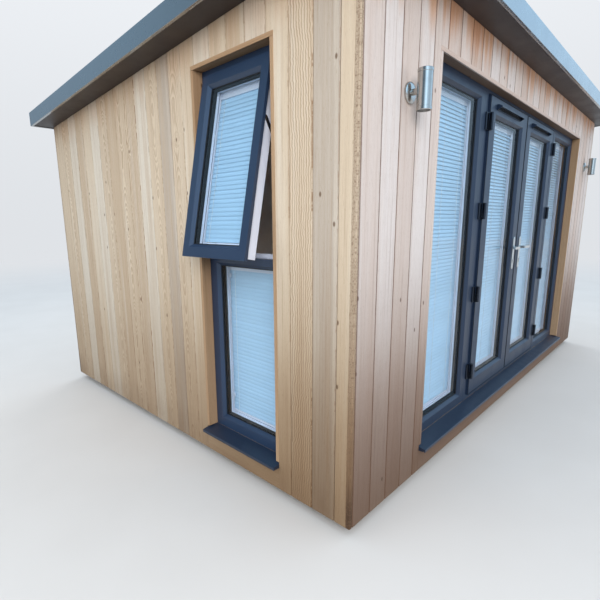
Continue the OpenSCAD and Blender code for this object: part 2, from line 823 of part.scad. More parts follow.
module right_leaf_glass() {
  color([0.75, 0.85, 0.90, 0.35]) at_corner() leaf_glass(leaf_x2, leaf_x3);
}

module right_leaf_blind() {
  color([0.86, 0.90, 0.93]) at_corner() leaf_blind(leaf_x2, leaf_x3);
}

module right_leaf_vent() {
  color([0.22, 0.25, 0.30]) at_corner() leaf_vent(leaf_x2);
}

module right_leaf_hinges() {
  color([0.10, 0.11, 0.13]) at_corner()
    for (i = [0:hinge_n - 1]) hinge_moving(axis_xr, -1, hinge_z0 + i*hinge_step);
}

module right_handle_plates() {
  color([0.78, 0.78, 0.77]) at_corner() handle_plates(leaf_x2 + handle_in);
}

module right_lever() {
  color([0.80, 0.80, 0.79]) at_corner() lever(leaf_x2 + handle_in, 1);
}

// Window: the same sections, turned into the left wall. Drawn with X along the wall and Y
// into the wall, then turned so that Y becomes the building's X
module in_left_wall() {
  rotate([0, 0, 90]) mirror([0, 1, 0]) children();
}

module window_reveal() {
  color([0.68, 0.55, 0.42]) at_corner() in_left_wall() lining(win_y0, win_w, win_head);
}

module window_cill() {
  color([0.22, 0.25, 0.30]) at_corner() in_left_wall() cill_bar(rough_y0, rough_y1);
}

// Frame with a fixed light below the transom and a rebate for the sash above it
module window_frame() {
  j = win_jamb;
  k = win_jamb + stop_t;
  casing = [[0, fy0], [j, fy0], [j, fy1 - stop_t], [k, fy1 - stop_t], [k, fy1], [0, fy1]];
  low = transom_top - sight/2;
  color([0.22, 0.25, 0.30]) at_corner() in_left_wall() {
    difference() {
      ring_xz(win_y0, win_y1, floor_z, light_top, fixed_section());
      span([win_y0 + j, fy0 - 1, transom_top], [win_y1 - j, fy1 - stop_t, light_top + 1]);
    }
    upright(low, win_head, [for (p = casing) [win_y0 + p[0], p[1]]]);
    upright(low, win_head, [for (p = casing) [win_y1 - p[0], p[1]]]);
    along_x(win_y0, win_y1, [for (p = casing) [p[1], win_head - p[0]]]);
  }
}

// Places a shape drawn with its top front edge on the origin, hanging down and reaching
// into the wall along +Y, on the open sash
module on_sash() {
  in_left_wall() translate([sash_y0, recess - sash_proud, sash_top]) rotate([-sash_open, 0, 0])
    children();
}

// Sash: a flange that laps over the frame, and a narrower body that enters the rebate
module window_sash() {
  m = sash_body;
  section = glazed(sash_sight, sash_d, sash_bevel, sash_back, sash_glass_t);
  color([0.22, 0.25, 0.30]) at_corner() on_sash() intersection() {
    ring_xz(0, sash_w, -sash_h, 0, section);
    union() {
      span([-1, -1, -sash_h - 1], [sash_w + 1, sash_proud - 1, 1]);
      span([m, -1, -sash_h + sash_foot], [sash_w - m, sash_d + 1, -m]);
    }
  }
}

module window_glass() {
  g = sash_sight - glass_bite;
  color([0.75, 0.85, 0.90, 0.35]) at_corner() {
    on_sash() span([g, sash_back, -sash_h + g], [sash_w - g, sash_back + sash_glass_t, -g]);
    in_left_wall() frame_glass(win_y0, win_y1, floor_z, light_top);
  }
}

module window_blinds() {
  g = sash_sight - glass_bite;
  color([0.86, 0.90, 0.93]) at_corner() {
    on_sash() blind_xz(g, sash_w - g, -sash_h + g, -g, sash_d);
    in_left_wall() frame_blind(win_y0, win_y1, floor_z, light_top);
  }
}

// Friction stays: a flat track on each side of the frame and a flat arm out to the sash,
// with its corners cut off
module window_stays() {
  top = win_head - win_jamb - stay_down;
  mid = fy0 + frame_d*0.44;
  foot = top - track_len + stay_w;
  x = win_y0 + win_jamb;
  a = 90 + 2.5*sash_open;
  h = stay_w/2;
  q = stay_w/4;
  bar = [[-h, -q], [-q, -h], [arm_len - q, -h], [arm_len, -q], [arm_len, q], [arm_len - q, h],
    [-q, h], [-h, q]];
  color([0.70, 0.71, 0.72]) at_corner() in_left_wall() for (s = [1, -1])
    mirror_at((win_y0 + win_y1)/2, s) {
      span([x, mid - h, top - track_len], [x + stay_t/2, mid + h, top]);
      along_x(x + stay_t/2, x + stay_t, [for (p = bar)
        [mid + p[0]*cos(a) - p[1]*sin(a), foot + p[0]*sin(a) + p[1]*cos(a)]]);
    }
}

// Wall light: domed wall plate and arm, turned in one, and a tube with a lens in each end
module light(x) {
  dome = [for (a = [0:15:90]) [arm_r + (rose_r - arm_r)*cos(a), rose_rim + rose_dome*sin(a)]];
  w = tube_r + ring_out;
  bore = tube_r - tube_wall;
  translate([x, 0, light_z]) rotate([90, 0, 0]) rotate_extrude($fn = 96)
    polygon(concat([[0, 0], [rose_r, 0]], dome, [[arm_r, light_out], [0, light_out]]));
  translate([x, -light_out, light_z - tube_h/2]) rotate_extrude($fn = 96)
    polygon([[0, lens_in], [bore, lens_in], [bore, 0], [w - 1, 0], [w, 1], [w, ring_h - 1],
      [tube_r, ring_h], [tube_r, tube_h - ring_h], [w, tube_h - ring_h + 1], [w, tube_h - 1],
      [w - 1, tube_h], [bore, tube_h], [bore, tube_h - lens_in], [0, tube_h - lens_in]]);
}

module wall_lights() {
  color([0.72, 0.72, 0.70]) at_corner() {
    light(rough_x0/2 + light_shift_left);
    light((rough_x1 + body_w)/2 + light_shift_right);
  }
}

base_bearers();
floor_panel();
floor_deck();
front_wall();
left_wall();
right_wall();
rear_wall();
front_cladding();
left_cladding();
right_cladding();
rear_cladding();
roof_panel();
roof_covering();
fascia();
soffit();
door_reveal();
door_cill();
sidelight_frames();
sidelight_glass();
sidelight_blinds();
door_frame();
hinge_frame_side();
window_reveal();
window_cill();
window_frame();
window_sash();
window_glass();
window_blinds();
window_stays();
wall_lights();
left_leaf();
left_leaf_glass();
left_leaf_blind();
left_leaf_vent();
left_leaf_hinges();
left_handle_plates();
left_lever();
right_leaf();
right_leaf_glass();
right_leaf_blind();
right_leaf_vent();
right_leaf_hinges();
right_handle_plates();
right_lever();
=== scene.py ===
# Garden office pod: everything that is seen, in metres, in the same frame as the solids.
import math
import random
import bmesh
import bpy
from mathutils import Matrix, Vector

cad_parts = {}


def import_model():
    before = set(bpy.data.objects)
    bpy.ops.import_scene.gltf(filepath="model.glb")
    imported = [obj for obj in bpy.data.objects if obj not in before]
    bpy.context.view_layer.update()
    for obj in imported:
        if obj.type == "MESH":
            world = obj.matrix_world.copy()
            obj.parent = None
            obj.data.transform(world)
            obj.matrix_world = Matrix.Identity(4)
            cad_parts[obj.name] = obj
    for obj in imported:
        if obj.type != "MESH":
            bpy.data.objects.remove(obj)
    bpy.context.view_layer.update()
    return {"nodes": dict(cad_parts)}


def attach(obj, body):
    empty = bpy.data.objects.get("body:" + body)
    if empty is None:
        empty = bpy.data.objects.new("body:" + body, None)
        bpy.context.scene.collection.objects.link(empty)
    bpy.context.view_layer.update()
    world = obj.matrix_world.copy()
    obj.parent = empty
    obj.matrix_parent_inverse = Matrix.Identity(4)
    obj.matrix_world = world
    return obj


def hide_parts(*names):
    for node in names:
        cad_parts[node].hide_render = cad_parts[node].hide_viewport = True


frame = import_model()
NODE = frame["nodes"]

# Sizes of the building, measured from the lower front left corner of the cladding.
# Walls and roof
W = 4.270
D = 3.015
H = 2.300
FALL = math.tan(math.radians(3.66))
CLAD = 0.020
WALL = 0.150
TOP = 0.0119
CORNER = Vector((-W / 2, -D / 2, 0.050))
FLOOR = 0.150

# Openings, as from and to, and their linings
DOOR = (0.649, 3.633)
DOOR_HEAD = 2.076
WIN = (0.452, 1.010)
WIN_HEAD = 2.083
LINER = 0.020

# Frames and side lights: depth of the face, of the section, and where it turns white
FACE = 0.056
FRAME_D = 0.070
SIGHT = 0.072
WHITE_IN = 0.052
REBATE = 0.0165
GLASS_IN = 0.022
GLASS_T = 0.028
LAP = 0.014
CILL_Z = 0.118
SIDES = ((DOOR[0], DOOR[0] + 0.700), (DOOR[1] - 0.700, DOOR[1]))

# Leaves, their vents and handles
LEAVES = (("left", (1.405, 2.138)), ("right", (2.144, 2.877)))
LEAF_Z = (0.181, 2.052)
LEAF_FACE = 0.044
LEAF_D = 0.066
LEAF_SIGHT = 0.112
VENT_IN = 0.110
VENT_L = 0.452
VENT_DOWN = 0.069
HANDLE_X = (("left", 2.073), ("right", 2.209))
HANDLE_Z = 1.130

# Window: the fixed light, and the sash from its hinge line down
LIGHT_TOP = 1.174
TRANSOM = 1.153
SASH_Y = 0.485
SASH_W = 0.492
SASH_TOP = 2.050
SASH_H = 0.905
SASH_COS = math.cos(math.radians(11.6))
SASH_SIN = math.sin(math.radians(11.6))
SASH_SIGHT = 0.065
SASH_FACE = 0.038
SASH_D = 0.072
SASH_LIP = 0.0172
SASH_WHITE = 0.050

# The roof's plan inside the fascia
ROOF_X = (-0.142, W + 0.142)
ROOF_Y = (-0.138, D + 0.015)

# Wall lights
LAMP_X = (0.357, 3.970)
LAMP_Z = 1.845
LAMP_OUT = 0.068
LAMP_HALF = 0.078

# The backdrop that is seen
PALE = (0.93, 0.96, 1.0, 1.0)
PALE_LOW = 0.80

rng = random.Random(41)


def soffit_z(y):
    return H - y * FALL


# Ways of laying out (across, depth, along) on the walls

def on_front(a, d, z):
    return (a, d, z)


def on_left(a, d, z):
    return (d, a, z)


def on_right(a, d, z):
    return (W - d, a, z)


def on_rear(a, d, z):
    return (a, D - d, z)


def on_sash(a, d, h):
    depth = SASH_FACE + d * SASH_COS + h * SASH_SIN
    return (depth, SASH_Y + a, SASH_TOP - d * SASH_SIN + h * SASH_COS)


def oblong(a0, a1, d0, d1):
    """A rectangular section of (across, depth)."""
    return [(a0, d0), (a1, d0), (a1, d1), (a0, d1)]


def turned_level(place):
    """The same wall, with across going up and along going sideways."""
    def level(a, d, x):
        return place(x, d, a)
    return level


class Build:
    """Collects faces with grain coordinates, a tone and a seed, and makes one object of them."""

    CARRIED = ("tone", "seed", "figure", "groove")

    def __init__(self):
        self.verts = []
        self.faces = []
        self.uvs = []
        self.carried = {key: [] for key in self.CARRIED}
        self.slots = []
        self.tone = 0.5
        self.figure = 0.0
        self.groove = 0.0
        self.seed = 0.0
        self.slot = 0

    def new_board(self):
        """Takes the grain from another place in the trunk."""
        self.seed = round(rng.uniform(0.0, 90.0), 3)

    def add(self, index, uv):
        self.faces.append(index)
        self.uvs.extend(uv)
        self.slots.append(self.slot)
        for key in self.CARRIED:
            self.carried[key].append(getattr(self, key))

    def prism(self, low, high, uv_low, uv_high, marks=()):
        """A solid between two outlines; marks gives each side its share of the groove tone."""
        base = len(self.verts)
        n = len(low)
        self.verts.extend(low)
        self.verts.extend(high)
        for i in range(n):
            j = (i + 1) % n
            self.groove = marks[i] if marks else 0.0
            self.add((base + i, base + j, base + n + j, base + n + i),
                     (uv_low[i], uv_low[j], uv_high[j], uv_high[i]))
        self.groove = 0.0
        self.add(tuple(base + i for i in reversed(range(n))), tuple(reversed(uv_low)))
        self.add(tuple(base + n + i for i in range(n)), tuple(uv_high))

    def bar(self, place, section, l0, l1, shift=(0.0, 0.0), marks=()):
        """Extrudes a section of (across, depth) from l0 to l1; the ends may be functions."""
        f0 = l0 if callable(l0) else (lambda a, d: l0)
        f1 = l1 if callable(l1) else (lambda a, d: l1)
        low = [place(a, d, f0(a, d)) for a, d in section]
        high = [place(a, d, f1(a, d)) for a, d in section]
        uv_low = [(a + d + shift[0], f0(a, d) + shift[1]) for a, d in section]
        uv_high = [(a + d + shift[0], f1(a, d) + shift[1]) for a, d in section]
        self.prism(low, high, uv_low, uv_high, marks=marks)

    def box(self, place, a, d, l):
        self.bar(place, oblong(*a, *d), l[0], l[1], (self.seed, self.seed * 0.7))

    def grid(self, base, rows, n, across):
        """Faces from each row of n points to the next, and from the last row to the first."""
        for k in range(rows):
            m = (k + 1) % rows
            for i in range(across):
                j = (i + 1) % n
                self.add((base + k * n + i, base + m * n + i, base + m * n + j, base + k * n + j),
                         ((k, i), (m, i), (m, j), (k, j)))

    def ring(self, place, a, z, profile):
        """Mitred frame round a rectangle; profile is (inwards, depth), closed."""
        base = len(self.verts)
        for i, j in ((0, 0), (1, 0), (1, 1), (0, 1)):
            for u, d in profile:
                self.verts.append(place(a[i] + u * (1 - 2 * i), d, z[j] + u * (1 - 2 * j)))
        self.grid(base, 4, len(profile), len(profile))

    def lathe(self, origin, axis, profile, sides=32):
        """Turns (radius, along) points round an axis through origin."""
        axis = Vector(axis).normalized()
        side = axis.orthogonal().normalized()
        other = axis.cross(side)
        base = len(self.verts)
        for k in range(sides):
            t = 2 * math.pi * k / sides
            out = side * math.cos(t) + other * math.sin(t)
            for r, h in profile:
                self.verts.append(tuple(Vector(origin) + out * r + axis * h))
        self.grid(base, sides, len(profile), len(profile) - 1)

    def make(self, name, materials, replaces=(), body="building", bevel=0.0):
        mesh = bpy.data.meshes.new(name)
        mesh.from_pydata([tuple(Vector(v) + CORNER) for v in self.verts], [], self.faces)
        layer = mesh.uv_layers.new(name="grain")
        layer.data.foreach_set("uv", [c for uv in self.uvs for c in uv])
        for key in self.CARRIED:
            layer = mesh.attributes.new(key, "FLOAT", "FACE")
            layer.data.foreach_set("value", self.carried[key])
        mesh.polygons.foreach_set("material_index", self.slots)
        tidy(mesh)
        settle(mesh, name, materials, replaces, body, bevel, 2)


def placed(name, data):
    obj = bpy.data.objects.new(name, data)
    bpy.context.scene.collection.objects.link(obj)
    return obj


def tidy(mesh):
    bm = bmesh.new()
    bm.from_mesh(mesh)
    bmesh.ops.remove_doubles(bm, verts=bm.verts, dist=1e-7)
    bmesh.ops.recalc_face_normals(bm, faces=bm.faces)
    bm.to_mesh(mesh)
    bm.free()


def settle(mesh, name, materials, replaces, body, bevel, segments):
    for material in materials:
        mesh.materials.append(material)
    mesh.polygons.foreach_set("use_smooth", [True] * len(mesh.polygons))
    mesh.set_sharp_from_angle(angle=math.radians(30))
    obj = placed(name, mesh)
    if bevel > 0.0:
        mod = obj.modifiers.new("edges", "BEVEL")
        mod.width = bevel
        mod.segments = segments
        mod.limit_method = "ANGLE"
        mod.angle_limit = math.radians(28)
        mod.use_clamp_overlap = True
        normals = obj.modifiers.new("normals", "WEIGHTED_NORMAL")
        normals.keep_sharp = False
    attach(obj, body)
    if replaces:
        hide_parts(*replaces)


def redone(node, name, materials, body="building", bevel=0.0010, segments=2, cuts=(),
           rule=None):
    """A solid's own shape with rounded edges; rule gives each face its material."""
    mesh = bpy.data.meshes.new(name)
    bm = bmesh.new()
    bm.from_mesh(NODE[node].data)
    for layer in list(bm.loops.layers.uv.values()):
        bm.loops.layers.uv.remove(layer)
    bmesh.ops.remove_doubles(bm, verts=bm.verts, dist=2e-6)
    bmesh.ops.dissolve_limit(bm, angle_limit=math.radians(0.4), verts=bm.verts, edges=bm.edges)
    for point, normal in cuts:
        geom = list(bm.verts) + list(bm.edges) + list(bm.faces)
        bmesh.ops.bisect_plane(bm, geom=geom, plane_co=point, plane_no=normal, dist=1e-6)
    for face in bm.faces:
        face.material_index = 0 if rule is None else rule(face.calc_center_median() - CORNER)
    bmesh.ops.recalc_face_normals(bm, faces=bm.faces)
    bm.to_mesh(mesh)
    bm.free()
    settle(mesh, name, materials, (node,), body, bevel, segments)


# Materials

class Tree:
    """Short names for the nodes of one material, or of the world."""

    def __init__(self, name, owner=None):
        self.owner = owner or bpy.data.materials.new(name)
        self.owner.use_nodes = True
        self.nodes = self.owner.node_tree.nodes
        self.nodes.clear()
        self.out = self.new("OutputWorld" if owner else "OutputMaterial").inputs[0]

    def new(self, kind, **values):
        node = self.nodes.new("ShaderNode" + kind)
        for key, value in values.items():
            setattr(node, key, value)
        return node

    def link(self, source, target):
        self.owner.node_tree.links.new(source, target)

    def fed(self, kind, sockets, **values):
        """A new node whose sockets, by name or number, are linked or set."""
        node = self.new(kind, **values)
        for key, value in sockets.items():
            if hasattr(value, "is_linked"):
                self.link(value, node.inputs[key])
            else:
                node.inputs[key].default_value = value
        return node

    def math(self, operation, a, b=0.0):
        return self.fed("Math", {0: a, 1: b}, operation=operation).outputs[0]

    def mul(self, a, b):
        return self.math("MULTIPLY", a, b)

    def plus(self, a, b):
        return self.math("ADD", a, b)

    def less(self, a, b):
        return self.math("SUBTRACT", a, b)

    def combine(self, x, y, z):
        return self.fed("CombineXYZ", {0: x, 1: y, 2: z}).outputs[0]

    def split(self, vector):
        return self.fed("SeparateXYZ", {0: vector}).outputs

    def place(self):
        return self.new("TexCoord").outputs["Object"]

    def grain(self):
        return self.new("UVMap", uv_map="grain").outputs[0]

    def attribute(self, name):
        return self.new("Attribute", attribute_name=name).outputs["Fac"]

    def noise(self, vector, scale=1.0, detail=2.0, rough=0.5):
        node = self.fed("TexNoise", {"Vector": vector, "Scale": scale, "Detail": detail,
                                     "Roughness": rough})
        return node.outputs["Fac"]

    def stretch(self, vector, scale):
        return self.fed("VectorMath", {0: vector, 1: scale}, operation="MULTIPLY").outputs[0]

    def fibres(self, board, across, along, detail=2.0, rough=0.5):
        """Noise with so many waves to a metre across one board and along it."""
        return self.noise(self.stretch(board, (across, along, 1.0)), 1.0, detail, rough)

    def span(self, value, lo, hi, to_lo=0.0, to_hi=1.0, easing="SMOOTHSTEP"):
        node = self.fed("MapRange", {"Value": value, "From Min": lo, "From Max": hi,
                                     "To Min": to_lo, "To Max": to_hi},
                        interpolation_type=easing)
        return node.outputs["Result"]

    def mix(self, factor, a, b, kind="MIX"):
        node = self.fed("Mix", {"Factor": factor, 6: a, 7: b}, data_type="RGBA",
                        blend_type=kind)
        return node.outputs[2]

    def bump(self, height, distance, strength):
        node = self.fed("Bump", {"Distance": distance, "Strength": strength, "Height": height})
        return node.outputs[0]

    def either(self, factor, a, b):
        """Shader a, turning into shader b as the factor grows."""
        return self.fed("MixShader", {0: factor, 1: a.outputs[0], 2: b.outputs[0]})

    def surface(self, colour, rough, normal, **fixed):
        """The material with one plain shader; names of further sockets have _ for a space."""
        sockets = {"Base Color": colour, "Roughness": rough, "Normal": normal}
        for key, value in fixed.items():
            sockets[key.replace("_", " ")] = value
        self.link(self.fed("BsdfPrincipled", sockets).outputs[0], self.out)
        return self.owner


def srgb(*rgb):
    """A colour as seen on a screen, 0 to 255, as the linear values that a shader takes."""
    out = []
    for c in rgb:
        c = c / 255
        out.append(c / 12.92 if c <= 0.04045 else ((c + 0.055) / 1.055) ** 2.4)
    return (*out, 1.0)


def dimmed(colour, share):
    return (*(c * share for c in colour[:3]), 1.0)


def cedar(name, colours, contrast, stain=0.0, groove=0.0, foot=None, rough_sawn=False):
    """Western red cedar: every board is cut from its own place in a trunk with yearly rings."""
    t = Tree(name)
    pale, honey, brown, grey, line = (srgb(*c) for c in colours)
    u, v, _ = t.split(t.grain())
    tone = t.attribute("tone")
    seed = t.attribute("seed")
    board = t.combine(u, v, seed)
    knot, swirl = knots(t, board)
    rings, figure = year_rings(t, u, v, seed, board, swirl)
    fibre = t.fibres(board, 1300.0, 11.0, 4.0, 0.7)
    pores = t.fibres(board, 640.0, 42.0, 1.0)
    streak = t.fibres(board, 120.0, 1.3, 3.0, 0.6)
    band = t.fibres(board, 20.0, 0.5)
    body = t.mix(t.span(tone, 0.10, 0.42), pale, honey)
    body = t.mix(t.span(tone, 0.46, 0.70), body, brown)
    body = t.mix(t.span(tone, 0.78, 0.92), body, grey)
    body = t.mix(t.span(band, 0.42, 0.75, 0.0, 0.50), body, brown)
    body = t.mix(t.span(band, 0.45, 0.25, 0.0, 0.50), body, pale)
    amount = t.mul(t.mul(rings, figure), contrast)
    body = t.mix(amount, body, line)
    body = t.mix(t.span(streak, 0.52, 0.78, 0.0, 0.40), body, line)
    body = t.mix(t.span(streak, 0.46, 0.22, 0.0, 0.30), body, pale)
    body = t.mix(t.span(fibre, 0.48, 0.80, 0.0, 0.55), body, line)
    body = t.mix(t.span(pores, 0.64, 0.74, 0.0, 0.30), body, line)
    deep = (line[0] * 0.42, line[1] * 0.36, line[2] * 0.32, 1.0)
    body = t.mix(knot, body, deep)
    if stain > 0.0:
        body = weather(t, body, board, stain, srgb(*foot), rough_sawn)
    # Darker wood and dirt in the joints between boards, with painted shade in them as well.
    if groove > 0.0:
        body = t.mix(t.mul(t.attribute("groove"), groove), body, deep)
    height = t.plus(t.mul(rings, -0.30), t.mul(fibre, 0.70))
    depth = 0.0007
    if rough_sawn:
        saw = t.fibres(board, 160.0, 120.0, 4.0, 0.75)
        body = t.mix(t.span(saw, 0.48, 0.66, 0.0, 0.75), body, line)
        height = t.plus(height, t.mul(saw, 2.0))
        depth = 0.0010
    normal = t.bump(height, depth, 0.55)
    rough = t.span(fibre, 0.2, 0.8, 0.62, 0.82)
    return t.surface(body, rough, normal, Specular_IOR_Level=0.30)


def dice(t, seed, n):
    """A number from 0 to 1 that is the same all over one board."""
    node = t.fed("TexWhiteNoise", {"W": t.plus(seed, 13.7 * n)}, noise_dimensions="1D")
    return node.outputs["Value"]


def year_rings(t, u, v, seed, board, swirl):
    """Rings round a trunk whose middle lies beside the board, or behind it in a flat-sawn one."""
    flat = t.attribute("figure")
    near = t.plus(t.mul(dice(t, seed, 2), 0.070), 0.032)
    far = t.plus(t.mul(dice(t, seed, 3), 0.30), 0.20)
    middle = t.plus(t.mul(near, flat), t.mul(far, t.less(1.0, flat)))
    slow = t.fibres(board, 1.5, 2.2, 3.0, 0.45)
    quick = t.fibres(board, 22.0, 7.5, 3.0)
    drift = t.mul(v, t.plus(t.mul(dice(t, seed, 4), 0.03), 0.01))
    deep = t.plus(drift, t.mul(slow, 0.10))
    deep = t.plus(deep, t.mul(swirl, 0.022))
    side = t.less(u, middle)
    side = t.plus(side, t.mul(quick, 0.012))
    curl = t.fibres(board, 14.0, 34.0)
    some = t.mul(flat, t.less(1.0, flat))
    side = t.plus(side, t.mul(t.mul(curl, some), 0.060))
    square = t.plus(t.mul(side, side), t.mul(deep, deep))
    spacing = t.plus(t.mul(dice(t, seed, 6), 0.0022), 0.0034)
    spacing = t.plus(spacing, t.mul(some, 0.034))
    part = t.math("FRACT", t.math("DIVIDE", t.math("SQRT", square), spacing))
    rings = t.mul(t.span(part, 0.15, 0.92), t.span(part, 1.0, 0.90))
    figure = t.plus(t.mul(flat, 0.22), t.mul(some, 0.7))
    figure = t.plus(figure, t.mul(dice(t, seed, 5), 0.32))
    return rings, t.plus(figure, 0.12)


def knots(t, board):
    """Small brown knots, about one to a board, and the grain that bends round them."""
    u, v, seed = t.split(board)
    across = t.plus(t.mul(u, 14.0), t.mul(seed, 3.1))
    along = t.plus(t.mul(v, 8.0), t.mul(seed, 7.7))
    cell = t.fed("TexVoronoi", {"Vector": t.combine(across, along, 0.0), "Scale": 1.0},
                 feature="F1", voronoi_dimensions="2D").outputs
    rare = t.math("GREATER_THAN", t.split(cell["Color"])[0], 0.960)
    near = t.span(cell["Distance"], 0.115, 0.045)
    wide = t.span(cell["Distance"], 0.42, 0.02)
    knot = t.mul(t.mul(near, rare), 0.80)
    return knot, t.mul(wide, rare)


def weather(t, body, board, stain, foot, corner):
    """Tannin runs under the eaves; damp, duller wood and painted shade towards the foot of the
    wall.
    """
    _, y, z = t.split(t.place())
    eave = t.plus(z, t.mul(y, FALL))
    broad = t.fibres(board, 14.0, 0.8)
    runs = t.fibres(board, 60.0, 0.6)
    reach = t.plus(eave, t.span(broad, 0.35, 0.68, -0.05, 0.10))
    top = t.span(reach, 2.10, 2.31)
    body = t.mix(t.mul(top, stain), body, srgb(238, 190, 150), "MULTIPLY")
    drip = t.mul(t.span(reach, 2.06, 2.26), t.span(runs, 0.66, 0.74))
    body = t.mix(t.mul(drip, stain * 0.6), body, srgb(142, 90, 58))
    damp = t.fibres(board, 11.0, 2.5, 3.0)
    # The foot colour darkens the lower wall, most at the front end: partly damp wood, partly
    # painted shade.
    towards_front = t.span(y, -1.2, 0.6, 1.0, 0.45)
    for top, bottom in ((1.42, 0.45), (0.95, 0.05)):
        share = t.mul(t.span(z, top, bottom), towards_front)
        body = t.mix(share, body, foot, "MULTIPLY")
    low = t.mul(t.span(z, 0.30, 0.05), t.span(damp, 0.30, 0.70, 0.30, 1.0))
    body = t.mix(t.mul(low, 0.40), body, srgb(106, 80, 58))
    if corner:
        wet = t.mul(t.span(z, 0.36, 0.08), t.span(damp, 0.36, 0.56))
        body = t.mix(t.mul(wet, 0.75), body, srgb(58, 40, 30))
    return body


def grained_plastic(name, colour, rough, emboss, coat=0.0, gloss=1.5):
    """Foiled plastic with a fine stippled grain, dust in places and softer shine on it."""
    t = Tree(name)
    p = t.place()
    colour = srgb(*colour)
    fine = t.noise(t.stretch(p, (1500.0, 1500.0, 420.0)), detail=2.0)
    dust = t.noise(p, scale=5.0, detail=5.0, rough=0.6)
    smear = t.noise(t.stretch(p, (9.0, 9.0, 1.2)), detail=3.0)
    pale = (*(min(1.0, c * 1.18 + 0.004) for c in colour[:3]), 1.0)
    body = t.mix(t.span(dust, 0.35, 0.75, 0.0, 0.45), colour, pale)
    body = t.mix(t.span(smear, 0.55, 0.80, 0.0, 0.35), body, dimmed(colour, 0.86))
    shine = t.span(dust, 0.3, 0.8, rough, rough + 0.14)
    return t.surface(body, shine, t.bump(fine, emboss, 0.5), Coat_Weight=coat,
                     Coat_Roughness=0.14, Coat_IOR=gloss)


def satin_metal(name, colour, rough, brushed, depth):
    """Metal with a brushed grain and light handling marks."""
    t = Tree(name)
    p = t.place()
    colour = srgb(*colour)
    lines = t.noise(t.stretch(p, brushed), detail=3.0, rough=0.6)
    marks = t.noise(p, scale=22.0, detail=4.0)
    body = t.mix(t.span(marks, 0.45, 0.75, 0.0, 0.5), colour, dimmed(colour, 0.80))
    shine = t.span(lines, 0.3, 0.7, rough * 0.75, rough * 1.3)
    return t.surface(body, shine, t.bump(lines, depth, 0.5), Metallic=1.0)


def plain_rough(name, colour, dark, scale, rough, depth):
    """Sheet or board with a fine broken tone, for roofing, rubber, painted board and so on."""
    t = Tree(name)
    p = t.place()
    dark = srgb(*dark)
    broad = t.noise(p, scale=scale * 0.12, detail=4.0, rough=0.6)
    fine = t.noise(p, scale=scale, detail=4.0, rough=0.7)
    body = t.mix(t.span(broad, 0.35, 0.7), srgb(*colour), dark)
    body = t.mix(t.span(fine, 0.5, 0.8, 0.0, 0.5), body, dark)
    shine = t.span(broad, 0.3, 0.7, rough - 0.06, rough + 0.06)
    return t.surface(body, shine, t.bump(fine, depth, 0.6))


def slat_paint(name, colour):
    """Enamelled slats, a little different from one to the next."""
    t = Tree(name)
    p = t.place()
    colour = srgb(*colour)
    dull = dimmed(colour, 0.90)
    haze = t.noise(p, scale=9.0, detail=3.0)
    body = t.mix(t.span(t.attribute("tone"), 0.0, 1.0, 0.0, 0.6), colour, dull)
    body = t.mix(t.span(haze, 0.4, 0.8, 0.0, 0.25), body, dull)
    fine = t.noise(p, scale=420.0, detail=2.0)
    return t.surface(body, t.span(haze, 0.3, 0.7, 0.30, 0.42), t.bump(fine, 0.00003, 0.4))


def clear_glass(name):
    """Sheet glass: passes light straight through and mirrors by its angle."""
    t = Tree(name)
    smears = t.noise(t.place(), scale=6.0, detail=4.0)
    through = t.fed("BsdfTransparent", {0: (0.95, 0.98, 0.99, 1.0)})
    mirror = t.fed("BsdfGlossy", {"Color": (1.0, 1.0, 1.0, 1.0),
                                  "Roughness": t.span(smears, 0.4, 0.8, 0.008, 0.045)})
    facing = t.fed("LayerWeight", {"Blend": 0.5}).outputs["Facing"]
    share = t.plus(t.mul(t.math("POWER", facing, 5.0), 0.55), 0.045)
    t.link(t.either(share, through, mirror).outputs[0], t.out)
    return t.owner


CEDAR = cedar("cedar", ((226, 217, 202), (216, 198, 174), (198, 177, 152), (190, 178, 164),
                        (142, 108, 78)), 1.0, stain=0.25, groove=0.20, foot=(214, 204, 193))
# The front's copy of the cedar is pinker and bluer with a darker foot: partly weathering, partly
# painted shade and a painted shadow at the foot.
CEDAR_FRONT = cedar("cedar_front", ((226, 218, 215), (217, 204, 197), (209, 190, 179),
                                    (205, 195, 191), (138, 106, 86)), 0.8, stain=0.90,
                    groove=0.70, foot=(192, 179, 169))
CEDAR_ROUGH = cedar("cedar_rough", ((214, 200, 182), (204, 186, 164), (190, 170, 148),
                                    (178, 164, 148), (112, 88, 68)), 0.5, stain=0.35,
                    foot=(206, 192, 178), rough_sawn=True)
CEDAR_FRESH = cedar("cedar_trim", ((198, 168, 138), (184, 152, 120), (164, 130, 98),
                                   (148, 124, 100), (108, 78, 52)), 0.8)
# A darker copy of the cedar trim for the underside of the door head: painted shade.
CEDAR_SHADED = cedar("cedar_painted_shade", ((150, 128, 114), (142, 118, 102), (132, 108, 92),
                                  (128, 112, 102), (92, 68, 54)), 0.8)
SAWN = cedar("bearer_timber", ((120, 106, 84), (108, 92, 68), (92, 76, 56), (86, 76, 62),
                               (54, 42, 30)), 0.8, rough_sawn=True)
LAMINATE = cedar("floor_board", ((188, 158, 122), (172, 140, 104), (150, 118, 86),
                                 (146, 124, 100), (100, 74, 52)), 0.6)
ANTHRACITE = grained_plastic("frame_plastic", (31, 49, 74), 0.38, 0.00008, 0.25)
